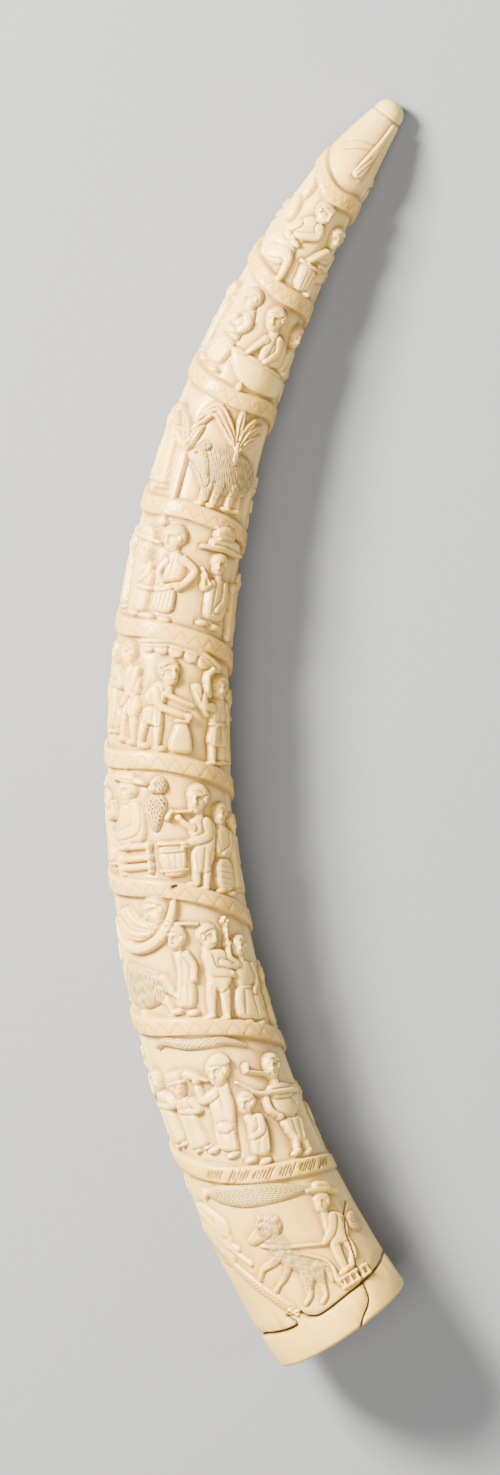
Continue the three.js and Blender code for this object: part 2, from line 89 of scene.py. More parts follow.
# The band's middle line, as distance from the base where each turn crosses the left edge, the
# front line and the right edge, from the lowest turn up, and its rise in a turn beyond them
BAND_LEFT = (72, 110, 175, 241, 300, 362.5, 421.5, 489, 551, 607)
BAND_FRONT = (4, 86.6, 163.6, 231.4, 294.7, 358.3, 418.6, 478.8, 537, 592.5)
BAND_RIGHT = (0, 75.5, 145, 211, 281, 347, 410, 476, 533, 591, 622)
BAND_END_RISE = 80.0

# The band's section: its height, half widths, slopes of its lower and upper edge, and how far it is
# crowned. It starts as a narrower cord. Turn counts tell where it starts and ends and the cord widens
BAND_PROUD = 0.4
BAND_HALF = 4.6
STRAP_HALF = 4.2
LOWER_SLOPE = 0.7
UPPER_SLOPE = 1.9
UPPER_INSET = 1.2
# Where the honey face tone fades out on the upper bevel; the paler bevel is a painted highlight along the
# top edge
FACE_FADES = (0.4, 1.2)
BAND_CROWN = 0.05
CORD_CROWN = 0.4
BAND_STARTS = (0.06, 0.08)
BAND_ENDS = (9.3, 9.6)
STRAP_UNTIL = (0.2, 0.36)
CORD_UNTIL = (0.4, 0.2)
LEAST_LEVEL = 0.02

# Painted shadow under the band's lower edge, by its middle below the edge and its half width
UNDER_BAND = 0.5
UNDER_BAND_HALF = 0.9

# Zigzag along the band: its teeth in a turn, those cut to each side of the front, their low and high
# places across, their depth, the turn count where they start, and the margin mapped past the band
ZIGZAG_COUNT = 24
ZIGZAG_SHOWN = 6
ZIGZAG_LOW = -0.66
ZIGZAG_TOP = 0.44
ZIGZAG_DEEP = 0.08
ZIGZAG_FROM = (1.4, 1.5)
ZIGZAG_MARGIN = 5.0

# Relief heights above the ground, before they are set to the ground's local depth
RELIEF_PROUD = 0.6
DRESS_HIGH = 2.7
ARM_HIGH = 3.1
HEAD_HIGH = 3.7
HAT_HIGH = 4.0
DRAPE_HIGH = 1.9
STAFF_HIGH = 2.6
FULL_DEPTH = GROUND_CUT + RELIEF_PROUD

# Forms' edges, the cut line round them, folds, the margin worked round a form, how far corners are
# cut, and steps between a curve's points
EDGE_CRISP = 0.78
SEAM_DEEP = 0.42
SEAM_OUT = 0.25
SEAM_HALF = 0.45
FOLD_DEEP = 0.4
WINDOW_MARGIN = 1.5
CORNER_CUT = 0.2
CURVE_STEPS = 6

# Short strokes, such as fur: how they fade at a form's edge, waver, and how wide each lane's cut is
HATCH_FADE = 0.7
HATCH_WAVER = 0.2
LANE_HALF = 0.24

# At both sides, where the outline is seen, the relief is calmer, about a mean height. Underneath it is
# lower and worn. Angles from straight up tell where. Faint tool marks lie over all of it
SIDE_HIGH = 2.0
SIDE_CALM = 0.5
SIDE_STARTS = (1.15, 1.4)
SIDE_ENDS = (1.75, 2.0)
UNDERSIDE = (2.1, 2.8)
UNDERSIDE_CALM = 0.38
WORN_FROM = (1.8, 2.4)
WORN_REACH = 3
TOOLING_DEEP = 0.1
TOOLING_RADIUS = 30.0

# Patina and painted shade: the weights of wide and fine hollows, with their reach on the sheet, of the
#  painted shadow at the band's foot and of the ground, and how deep it is pressed in
WIDE_PATINA_AND_SHADE = 0.7
WIDE_REACH = 6
FINE_PATINA_AND_SHADE = 0.9
FINE_REACH = 2
FINE_DEPTH = 0.3
SHADOW_UNDER_BAND = 0.6
GROUND_TINT = 0.14
GROUND_BELOW = (0.1, 1.0)
PATINA_AND_SHADE_DEEP = 0.25

# Layout of the skin's flat map, in mm on a square: rows for two stretches, a column for the hollow
BAKE_SIDE = 478.0
BAKE_GAP = 12.0
BAKE_STRETCH = 325.0
BAKE_LOWER_ROW = 126.0
BAKE_UPPER_ROW = 370.0
BAKE_HOLLOW_COLUMN = 362.0
BAKE_BASE = (415.0, 370.0)
BASE_FACE_WITHIN = 0.3
BASE_FACE_RADIUS = 34.4

# Fineness of the sheet and of the finished mesh
BODY_ROWS = 1620
KNOB_ROWS = 22
COLUMNS = 424
HOLLOW_ROWS = 24
TRIANGLES = 192000


def ease(span, value):
    share = np.clip((value - span[0]) / (span[1] - span[0]), 0, 1)
    return share * share * (3 - 2 * share)


def envelope(along):
    share = along / LENGTH
    cone = np.maximum(0, (along - CONE_FROM) / (LENGTH - CONE_FROM))
    return BASE_RADIUS - STRAIGHT_TAPER * share - TIP_TAPER * share**4 - CONE_DROP * cone**1.5


def cut(along):
    body = BASE_CUT + (GROUND_CUT - BASE_CUT) * ease(CUT_DEEPENS, along)
    return body + (TIP_CUT - GROUND_CUT) * ease(CUT_EASES, along)


def bare_radius(along):
    """Radius of the ground, with the knob at the tip."""
    knob_share = np.clip((along - KNOB_MIDDLE) / (LENGTH - KNOB_MIDDLE), 0, 1)
    knob = KNOB_RADIUS * np.sqrt(1 - knob_share**2)
    return np.where(along < KNOB_MIDDLE, envelope(along) - cut(along), knob)


def hollow_radius(along):
    share = (along - HOLLOW_START) / (HOLLOW_DEPTH - HOLLOW_START)
    return HOLLOW_END_RADIUS + (HOLLOW_RADIUS - HOLLOW_END_RADIUS) * (1 - share) ** HOLLOW_FULLNESS


def shell(around, along, radius):
    """Points of the tusk in mm: angle around the axis from straight up, distance along it, radius."""
    angle = AXIS_START + along / AXIS_RADIUS
    reach = AXIS_RADIUS - radius * np.sin(around)
    x = ARC_CENTRE[0] - reach * np.cos(angle)
    y = ARC_CENTRE[1] + reach * np.sin(angle)
    z = envelope(along) - REST_CUT + radius * np.cos(around)
    return np.stack([x, y, np.maximum(z, 0)], axis=-1)


def unroll(points):
    """Angle around the axis, distance along it and radius of points in mm."""
    from_centre = points[:, 0] - ARC_CENTRE[0], points[:, 1] - ARC_CENTRE[1]
    along = (np.arctan2(from_centre[1], -from_centre[0]) - AXIS_START) * AXIS_RADIUS
    side = AXIS_RADIUS - np.hypot(*from_centre)
    up = points[:, 2] - envelope(along) + REST_CUT
    return np.arctan2(side, up), along, np.hypot(side, up)


def band_knots():
    """Turn counts, with the front of each turn at a whole number, and the band's place at each."""
    knots = [(turn - 0.25, right) for turn, right in enumerate(BAND_RIGHT)]
    knots += enumerate(BAND_FRONT)
    knots += [(turn + 0.25, left) for turn, left in enumerate(BAND_LEFT)]
    return np.array(sorted(knots)).T


def band_at(turn):
    """The band's middle line at turn counts: a smooth curve through its knots, straight beyond them."""
    turns, places = band_knots()
    slopes = np.gradient(places, turns)
    slopes[1:-1] = (places[2:] - places[:-2]) / (turns[2:] - turns[:-2])
    i = np.clip(np.searchsorted(turns, turn, side="right") - 1, 0, len(turns) - 2)
    run = turns[i + 1] - turns[i]
    t = np.clip((turn - turns[i]) / run, 0, 1)
    inside = ((2 * t**3 - 3 * t**2 + 1) * places[i] + (t**3 - 2 * t**2 + t) * run * slopes[i]
              + (3 * t**2 - 2 * t**3) * places[i + 1] + (t**3 - t**2) * run * slopes[i + 1])
    beyond = np.minimum(turn - turns[0], 0) + np.maximum(turn - turns[-1], 0)
    return inside + beyond * BAND_END_RISE


def through(points):
    """More points along a smooth curve through the given ones."""
    p = np.array(points, float)
    if len(p) < 3:
        return p
    padded = np.vstack([2 * p[0] - p[1], p, 2 * p[-1] - p[-2]])
    t = (np.arange(CURVE_STEPS) / CURVE_STEPS)[:, None]
    pieces = []
    for a, b, c, d in zip(padded, padded[1:], padded[2:], padded[3:]):
        pieces.append(b + 0.5 * t * (c - a + t * (2 * a - 5 * b + 4 * c - d + t * (3 * b - a - 3 * c + d))))
    return np.vstack(pieces + [p[-1:]])


def box_round(x, y, margin):
    return np.min(x - margin), np.max(x + margin), np.min(y - margin), np.max(y + margin)


def from_stretch(px, py, a, b):
    """The share of a straight stretch where it is nearest to each place, and the distance to it there."""
    way = (b[0] - a[0], b[1] - a[1])
    long = max(way[0] ** 2 + way[1] ** 2, TINY)
    share = np.clip(((px - a[0]) * way[0] + (py - a[1]) * way[1]) / long, 0, 1)
    return share, np.hypot(px - a[0] - share * way[0], py - a[1] - share * way[1])


def bar(points):
    """A limb or line: a round stroke through [x, y, half width] points."""
    path = through(points)
    x, y, half = path.T

    def distance(px, py):
        best = np.inf
        for a, b in zip(path, path[1:]):
            share, away = from_stretch(px, py, a, b)
            best = np.minimum(best, away - a[2] - share * (b[2] - a[2]))
        return best

    return box_round(x, y, half), distance


def oval(x, y, wide, tall, tilt=0.0):
    """An oval by its middle and half sizes."""
    cos, sin = math.cos(math.radians(tilt)), math.sin(math.radians(tilt))

    def distance(px, py):
        u = ((px - x) * cos + (py - y) * sin) / wide
        v = ((py - y) * cos - (px - x) * sin) / tall
        return (np.hypot(u, v) - 1) * min(wide, tall)

    return box_round(x, y, max(wide, tall)), distance


def outline(points, rounds=2):
    """A closed outline whose corners are cut round."""
    loop = np.array(points, float)
    for _ in range(rounds):
        after = np.roll(loop, -1, axis=0)
        near = (1 - CORNER_CUT) * loop + CORNER_CUT * after
        far = CORNER_CUT * loop + (1 - CORNER_CUT) * after
        loop = np.stack([near, far], axis=1).reshape(-1, 2)

    def distance(px, py):
        best = np.inf
        inside = np.zeros(np.broadcast(px, py).shape, bool)
        for a, b in zip(loop, np.roll(loop, -1, axis=0)):
            best = np.minimum(best, from_stretch(px, py, a, b)[1])
            crosses = (a[1] > py) != (b[1] > py)
            inside ^= crosses & (px < a[0] + (py - a[1]) * (b[0] - a[0]) / ((b[1] - a[1]) or TINY))
        return np.where(inside, -best, best)

    return box_round(loop[:, 0], loop[:, 1], 0), distance


def mixed(*numbers):
    """A repeatable number from 0 to 1 for each pair of whole numbers."""
    spread = sum(n * k for n, k in zip(numbers, MIXING))
    return np.modf(np.abs(np.sin(spread)) * MIXING_SCALE)[0]


class Sheet:
    """The tusk's skin unrolled: rows along the axis, columns around it, heights in mm on the ground."""

    def __init__(self):
        knob = np.sin(np.linspace(0, math.pi / 2, KNOB_ROWS + 1))[1:-1] * (LENGTH - KNOB_MIDDLE)
        self.along = np.concatenate([np.linspace(-BASE_SPARE, KNOB_MIDDLE, BODY_ROWS), KNOB_MIDDLE + knob])
        self.around = np.linspace(-math.pi, math.pi, COLUMNS, endpoint=False)
        self.high = np.zeros((len(self.along), COLUMNS))
        self.dark, self.strokes, self.lane, self.run = (np.zeros_like(self.high) for _ in range(4))
        self.middle = 0.0

    def window(self, box):
        """Where a box of x around and y along lies on the sheet, and x and y there."""
        x0, x1, y0, y1 = box
        rows = np.arange(*np.searchsorted(self.along, (y0 - WINDOW_MARGIN, y1 + WINDOW_MARGIN)))
        around = (self.around - self.middle + math.pi) % FULL_TURN - math.pi
        reach = around * envelope(min(y1 + WINDOW_MARGIN, LENGTH))
        columns = np.flatnonzero((reach > x0 - WINDOW_MARGIN) & (reach < x1 + WINDOW_MARGIN))
        y = self.along[rows][:, None]
        return np.ix_(rows, columns), around[columns][None, :] * envelope(y), y

    def carve(self, shape, high=DRESS_HIGH, edge=2.0, lift=0.6, seam=SEAM_DEEP):
        """Raises a form with round edges, over what it covers, with a cut line round it."""
        box, distance = shape
        place, x, y = self.window(box)
        away = distance(x, y)
        rise = np.sqrt(1 - (1 - np.clip(-away / (EDGE_CRISP * edge), 0, 1)) ** 2)
        under = self.high[place]
        groove = seam * np.exp(-((away - SEAM_OUT) / SEAM_HALF) ** 2)
        raised = np.maximum(under + lift * rise, high * rise)
        self.high[place] = np.where(away < 0, raised, under - groove)

    def swell(self, shape, lift, edge=1.0):
        """Raises a small feature on whatever lies there, with no cut line."""
        self.carve(shape, high=0, edge=edge, lift=lift, seam=0)

    def dent(self, shape, deep, edge=0.8):
        self.swell(shape, -deep, edge)

    def score(self, points, deep=0.45, half=0.32, dark=0.0):
        """Cuts a line."""
        box, distance = bar([(x, y, 0) for x, y in points])
        place, x, y = self.window(box)
        groove = np.exp(-(distance(x, y) / half) ** 2)
        self.high[place] -= deep * groove
        self.dark[place] = np.maximum(self.dark[place], dark * np.sqrt(groove))

    def fan(self, top, bottom, count, deep=FOLD_DEEP):
        """Cuts lines from evenly spaced points of one stretch to those of another, such as folds."""
        for share in (np.arange(count) + 0.5) / count:
            ends = [(1 - share) * np.array(a) + share * np.array(b) for a, b in (top, bottom)]
            self.score(ends, deep)

    def hatch(self, shape, lean, pitch, stroke, deep, dark):
        """Fills a form with short strokes that lean from the tusk's length, such as fur or scales.
        The material draws their fine dark lines, at the lanes and runs that are kept here."""
        box, distance = shape
        place, x, y = self.window(box)
        inside = np.clip(-distance(x, y) / HATCH_FADE, 0, 1)
        cos, sin = math.cos(math.radians(lean)), math.sin(math.radians(lean))
        waver = np.sin(0.9 * x + 1.6 * np.sin(0.5 * y)) + np.sin(0.8 * y + 1.4 * np.sin(0.6 * x))
        lane = (x * cos + y * sin) / pitch + HATCH_WAVER * waver
        run = (y * cos - x * sin) / stroke
        self.high[place] -= deep * inside * np.exp(-(((lane % 1.0 - 0.5) / LANE_HALF) ** 2))
        taken = (inside > 0) | (self.strokes[place] == 0)
        for held, value in ((self.lane, lane), (self.run, run), (self.strokes, dark * inside)):
            held[place] = np.where(taken, value, held[place])

    def real_heights(self):
        """Heights set to the local depth of the ground, calmer at the sides and lower underneath."""
        depth = (cut(self.along) + RELIEF_PROUD) / FULL_DEPTH
        turned = np.abs(self.around)[None, :]
        under = 1 - UNDERSIDE_CALM * ease(UNDERSIDE, turned)
        beside = ease(SIDE_STARTS, turned) - ease(SIDE_ENDS, turned)
        high = self.high + SIDE_CALM * beside * (SIDE_HIGH - self.high)
        return high * depth[:, None] * under


# The one sheet that every form is cut on, and the ways of cutting it
sheet = Sheet()
carve, swell, dent = sheet.carve, sheet.swell, sheet.dent
score, fan, hatch = sheet.score, sheet.fan, sheet.hatch


def limb(points, *how, **more):
    carve(bar(points), *how, **more)


def plate(points, *how, rounds=2, **more):
    carve(outline(points, rounds), *how, **more)


def lump(place_and_size, *how, **more):
    carve(oval(*place_and_size), *how, **more)


def furred(shape, strokes, *how, **more):
    carve(shape, *how, **more)
    hatch(shape, *strokes)


# Hair and beard as outlines in shares of a head's half sizes: of a head turned aside, of one that looks
# ahead, over the top of both, and round the chin
HAIR_ASIDE = ((1.0, 0.4), (0.5, 0.56), (-0.05, 0.5), (-0.36, 0.22), (-0.66, 0.3), (-0.76, -0.42),
              (-1.02, -0.35))
HAIR_AHEAD = ((0.95, 0.25), (0.55, 0.58), (-0.55, 0.58), (-0.8, 0.25), (-1.05, 0.2))
HAIR_OVER = ((-1.06, 0.5), (-0.55, 1.02), (0.4, 1.02), (0.95, 0.7))
BEARD = ((-0.62, -0.2), (-0.35, -0.5), (0.3, -0.5), (0.5, -0.72), (0.1, -1.15), (-0.5, -0.8))


def head(x, y, wide, tall, face=-1, tilt=0.0, hair=True, beard=False):
    """A head of general type, calm and evenly proportioned, in shares of its half sizes: face -1 looks
    left, 1 right, 0 ahead."""
    cos, sin = math.cos(math.radians(tilt)), math.sin(math.radians(tilt))

    def at(u, v):
        return x + u * wide * cos - v * tall * sin, y + u * wide * sin + v * tall * cos

    def spot(u, v, half_wide, half_tall):
        return oval(*at(u, v), half_wide * wide, half_tall * tall, tilt)

    def ridge(points, lift, edge=0.13):
        swell(bar([(*at(u, v), half * wide) for u, v, half in points]), lift, edge * wide)

    neck = [(*at(u, v), 0.46 * wide) for u, v in ((0, -0.5), (-0.05 * face, -1.5))]
    limb(neck, 0.62 * HEAD_HIGH, 0.5 * wide, 0, 0)
    carve(spot(0.2 * face, -0.42, 0.7, 0.58), 0.94 * HEAD_HIGH, 0.5 * wide)
    carve(spot(0, 0.14, 1, 0.86), HEAD_HIGH, 0.7 * wide, lift=0.25, seam=0.12)
    middle = 0.36 * face
    for side in (-1, 1):
        eye = middle + side * (0.36 if face == 0 else 0.31)
        dent(spot(eye, 0.0, 0.28, 0.17), 0.5, 0.24 * wide)
        swell(spot(eye, -0.01, 0.2, 0.11), 0.5, 0.14 * wide)
        score([at(eye - 0.17, 0.02), at(eye, 0.07), at(eye + 0.17, 0.02)], 0.25, 0.05 * wide, 0.25)
        score([at(eye - 0.02, -0.01), at(eye + 0.02, -0.01)], 0.2, 0.07 * wide, 0.5)
        ridge([(eye - 0.26, 0.2, 0.06), (eye, 0.26, 0.08), (eye + 0.26, 0.2, 0.06)], 0.35)
    nose = middle + 0.1 * face
    ridge([(nose, 0.14, 0.09), (nose + 0.1 * face, -0.2, 0.17), (nose + 0.1 * face, -0.27, 0.22)], 1.1)
    for lip, half in ((-0.52, 0.07), (-0.67, 0.08)):
        ridge([(nose - 0.25, lip, 0.05), (nose, lip + 0.02, half), (nose + 0.25, lip, 0.05)], 0.5, 0.1)
    score([at(nose - 0.26, -0.595), at(nose + 0.26, -0.595)], 0.3, 0.04 * tall, 0.35)
    swell(spot(middle, -0.87, 0.26, 0.13), 0.3, 0.16 * wide)
    for ear in ((-0.9, 0.9) if face == 0 else (-0.5 * face,)):
        carve(spot(ear, -0.08, 0.18, 0.24), 0, 0.1 * wide, 0.6, 0.35)
        dent(spot(ear + 0.03 * face, -0.05, 0.08, 0.13), 0.5, 0.1 * wide)
    if hair:
        line = HAIR_ASIDE if face else HAIR_AHEAD
        crop = outline([at(u * (face or 1), v) for u, v in line + HAIR_OVER])
        furred(crop, (35 + tilt, 0.9, 1.1, 0, 0.4), 0, 0.5, 0.55, 0.15)
    if beard:
        chin = outline([at(middle + u, v) for u, v in BEARD])
        furred(chin, (tilt, 0.9, 2.0, 0, 0.4), 0, 0.5, 0.6, 0.15)


# People in shares of their height. Torsos and dress as one side's outline from the hem or hip up
DRESS = {
    "robe": ((0.17, 0.04), (0.145, 0.24), (0.13, 0.44), (0.155, 0.64), (0.06, 0.75)),
    "skirt": ((0.115, 0.4), (0.155, 0.64), (0.06, 0.75)),
    "cloth": ((0.13, 0.3), (0.115, 0.46), (0.155, 0.64), (0.06, 0.75)),
}
WRAPS = {
    "skirt": ((0.19, 0.2), (0.135, 0.45)),
    "cloth": ((0.03, 0.24), (0.14, 0.34), (0.13, 0.46)),
}
LEG = ((0.085, 0.03, 0.042), (0.09, 0.2, 0.056), (0.07, 0.38, 0.075))
# Arms from the shoulder over the elbow to the hand, on the right side of the figure
ARMS = {
    "hidden": (),
    "down": ((0.13, 0.65), (0.21, 0.5), (0.17, 0.36)),
    "akimbo": ((0.12, 0.66), (0.31, 0.53), (0.12, 0.42)),
    "folded": ((0.15, 0.64), (0.21, 0.51), (-0.07, 0.56)),
    "raised": ((0.14, 0.63), (0.25, 0.66), (0.26, 0.82)),
    "point": ((0.13, 0.64), (0.26, 0.54), (0.35, 0.62)),
}
ARM_HALVES = (0.055, 0.044, 0.03)
HEAD_UP = 0.865
HEAD_HALF = (0.115, 0.137)


def person(x, y, tall, lean=0, dress="robe", hat="none", left="hidden", right="hidden", face=-1, tilt=0,
           features=True):
    """A plainly cut person, who stands at a point and is so many mm tall."""
    slope = math.tan(math.radians(lean))

    def at(px, py):
        return x + (px + py * slope) * tall, y + py * tall

    def both_sides(half):
        return [at(px, py) for px, py in half] + [at(-px, py) for px, py in reversed(half)]

    if dress != "robe":
        for side in (-1, 1):
            limb([(*at(side * px, py), half * tall) for px, py, half in LEG], edge=0.06 * tall)
    for side in (-1, 1):
        lump((*at(side * 0.085 + 0.025 * face, 0.022), 0.075 * tall, 0.028 * tall), edge=1.2)
    limb([(*at(0, 0.66), 0.055 * tall), (*at(0, 0.78), 0.052 * tall)], edge=0.05 * tall)
    plate(both_sides(DRESS[dress]), edge=0.07 * tall, lift=0.3)
    if dress == "robe":
        hem = DRESS[dress][0][1] + 0.02
        fan((at(-0.1, 0.42), at(0.1, 0.42)), (at(-0.14, hem), at(0.14, hem)), 4, 0.3)
        score([at(-0.045, 0.73), at(0, 0.52), at(0, hem)], 0.35)
    else:
        plate(both_sides(WRAPS[dress]), edge=1.6, lift=0.7)
        limb([(*at(-0.13, 0.45), 0.02 * tall), (*at(0.13, 0.45), 0.02 * tall)], edge=0.8, lift=0.6)
        fan((at(-0.08, 0.43), at(0.1, 0.43)), (at(-0.1, 0.24), at(0.15, 0.24)), 3, 0.3)
        score([at(0, 0.7), at(0.01 * face, 0.5)], 0.25, 0.5)
    for side, pose in ((-1, left), (1, right)):
        if ARMS[pose]:
            arm = [(*at(side * px, py), half * tall) for (px, py), half in zip(ARMS[pose], ARM_HALVES)]
            limb(arm, ARM_HIGH, 0.028 * tall, 0.45)
            lump((*arm[-1][:2], 0.042 * tall, 0.036 * tall), ARM_HIGH, 0.03 * tall, 0.2, 0.12)
    head_x, head_y = at(0, HEAD_UP)
    wide, high = HEAD_HALF[0] * tall, HEAD_HALF[1] * tall
    if features:
        head(head_x, head_y, wide, high, face, tilt - lean * 0.5, hat == "none")
    else:
        lump((head_x, head_y, wide, high), HEAD_HIGH, 0.8 * wide)
    if hat != "none":
        headgear(head_x, head_y, wide, high, hat)


def headgear(x, y, wide, tall, kind):
    """A cap, a tall hat or a brimmed hat, in shares of the head's half sizes."""
    top = 1.6 if kind == "tall" else 1.25
    crown = [(-1.08, 0.42), (-1.0, top), (1.0, top), (1.08, 0.42)]
    plate([(x + u * wide, y + v * tall) for u, v in crown], HAT_HIGH, 1.4, 0.5, rounds=1)
    brow = y + 0.45 * tall
    if kind == "brim":
        limb([(x - 2 * wide, brow, 1.3), (x, brow + 0.4, 1.5), (x + 2 * wide, brow, 1.3)], HAT_HIGH, 1)
    else:
        limb([(x - 1.05 * wide, brow, 0.9), (x + 1.05 * wide, brow, 0.9)], HAT_HIGH, 0.8, 0.4)


# Feet and hands of people cut part by part, and palm fronds from stem to end, as half sizes in mm
FOOT_HALF = (3.6, 1.6)
HAND_HALF = (2.1, 1.8)
FROND_HALVES = (1.2, 2.1, 2.1, 0.6)


def figure(dress, arms=(), legs=(), feet=(), folds=(), edge=3.2):
    """A person from parts in mm: legs and feet, the dress over them, its folds, then the arms."""
    for leg in legs:
        limb(leg, edge=2)
    for foot in feet:
        lump((*foot, *FOOT_HALF), edge=1.3)
    plate(dress, edge=edge, lift=0.3)
    for fold in folds:
        score(fold, FOLD_DEEP)
    for arm in arms:
        limb(arm, ARM_HIGH, 1.9, 0.45)
        lump((*arm[-1][:2], *HAND_HALF), ARM_HIGH, 1.5, 0.2, 0.12)


def row_of_sled():
    """Fish under the band, harnessed dog, driver on a sled, bag, stick and a figure at the edge."""
    # Fish
    fish = bar([(-30, 87, 2), (-22, 84.3, 4.6), (-10, 79.5, 5.7), (4, 75, 4.8), (13, 71.8, 3),
                (19, 69.3, 1.2)])
    plate([(-28, 87), (-36, 92), (-33, 87.5), (-37, 84.5)], edge=1.2)
    carve(fish, edge=3.5)
    hatch(fish, -24, 1.3, 60, 0.2, 0.1)
    hatch(fish, 62, 0.85, 2.4, 0.18, 1)
    # Figure at the left edge with a stick
    plate([(-52, 86), (-38, 84), (-30, 76), (-28, 66), (-31, 55), (-38, 50), (-52, 58)], edge=6)
    lump((-31.5, 70.5, 4.4, 5.6, 10), edge=3.4)
    limb([(-44, 80, 2.4), (-38, 74, 2.6), (-35, 64, 2.4), (-28.5, 58, 1.8)], edge=2)
    fan(((-48, 70), (-38, 66)), ((-46, 58), (-36, 54)), 3)
    limb([(-33, 61, 1.2), (-25, 49, 1.2)], ARM_HIGH, 1)

    # Dog: legs, coat, ruff, ears, snout and harness
    for leg in (
        [(-7, 47, 2.8), (-13, 45, 2), (-20, 44.5, 1.6), (-24.5, 41, 1.5)],
        [(-5, 42, 2.4), (-11, 36.5, 1.5), (-16.5, 34, 1.1), (-19.2, 32.7, 1.5)],
        [(0, 33, 4.4), (-3.5, 26.5, 2.2), (-5, 22.5, 1.4), (-9, 20.4, 1.4)],
        [(5, 32, 3.8), (3.5, 25, 1.9), (2, 19, 1.2), (-1.2, 16.8, 1.4)],
        [(6, 34, 2), (9.3, 29, 1.9), (8.5, 23, 0.8)],
    ):
        limb(leg, edge=1.8)
        hatch(bar(leg[:2]), 20, 1.1, 3, 0.12, 0.9)
    furred(bar([(-8, 56.5, 4.8), (-5.5, 47, 5.4), (0, 37, 4.6), (3.5, 31, 4.8)]), (28, 0.85, 5, 0.2, 1),
           edge=4.2)
    furred(oval(-6.8, 61.3, 7, 5.8, -12), (-40, 0.85, 4, 0.18, 1), HEAD_HIGH, 4.2)
    for ear in ([(-10.8, 64.6), (-9, 70), (-6.2, 65.6)], [(-4, 64.2), (-0.2, 65), (-0.4, 61), (-4, 61)]):
        plate(ear, HEAD_HIGH, 1.2)
    limb([(-9.5, 60.6, 4.2), (-13.5, 59.7, 3.4), (-17.2, 58.8, 2.7)], ARM_HIGH, 2.6)
    score([(-19.4, 57.6), (-15.5, 57.2), (-12.5, 57.8)], 0.5, 0.3, 0.6)
    score([(-11.2, 62.2), (-9.9, 62.3)], 0.7, 0.5, 0.8)
    lump((-19.3, 59.8, 1.1, 1.0), ARM_HIGH, 0.8)
    limb([(-14, 54.6, 1), (-7, 50.2, 1), (3, 46, 1), (14, 41.2, 1)], ARM_HIGH, 0.8)
    limb([(-3, 46, 0.9), (6, 38.5, 0.9), (11.5, 32, 0.9), (12, 21, 0.9)], ARM_HIGH, 0.8)

    # Driver in a hat, sled and bag
    for leg in ([(19.5, 38, 2.8), (18.5, 31.5, 2.3), (18, 24.5, 1.7)],
                [(26.5, 38, 2.8), (27, 30.5, 2.3), (22, 25, 1.7)]):
        limb(leg, edge=2.2)
        lump((leg[-1][0] - 2, leg[-1][1] - 0.6, 3.2, 1.5), edge=1.2)
    figure([(20, 53), (27.5, 54), (34.5, 49), (31.5, 40), (25, 35.5), (18, 38), (18, 46)],
           folds=([(28, 50), (27, 38)], [(32, 47), (29, 39)]))
    limb([(26, 51, 2.5), (21.5, 45, 2.2), (15, 41.2, 1.7)], ARM_HIGH, 2)
    head(25, 60, 5.2, 5.8, -1, -22, hair=False)
    plate([(22.5, 67.5), (25, 72), (34, 68), (34.5, 62)], HAT_HIGH, 1.6, rounds=1)
    limb([(19.5, 68.5, 1.3), (28, 65.4, 1.5), (37, 61, 1.3)], HAT_HIGH, 1)
    for rail in (16.2, 21):
        limb([(11.5, rail + 0.6, 1), (30, rail, 1)], edge=0.8)
    limb([(12, 28.5, 0.9), (10.6, 22.5, 0.9), (12.5, 17, 1)], edge=0.8)
    for x in np.linspace(13.5, 29, 5):
        limb([(x, 16.2, 0.8), (x, 21, 0.8)], edge=0.7, lift=0.3)
    bag = oval(40, 43, 6.4, 5.8, -8)
    carve(bag, edge=3)
    for lean in (-45, 45):
        hatch(bag, lean, 1.7, 12, 0.3, 0.7)


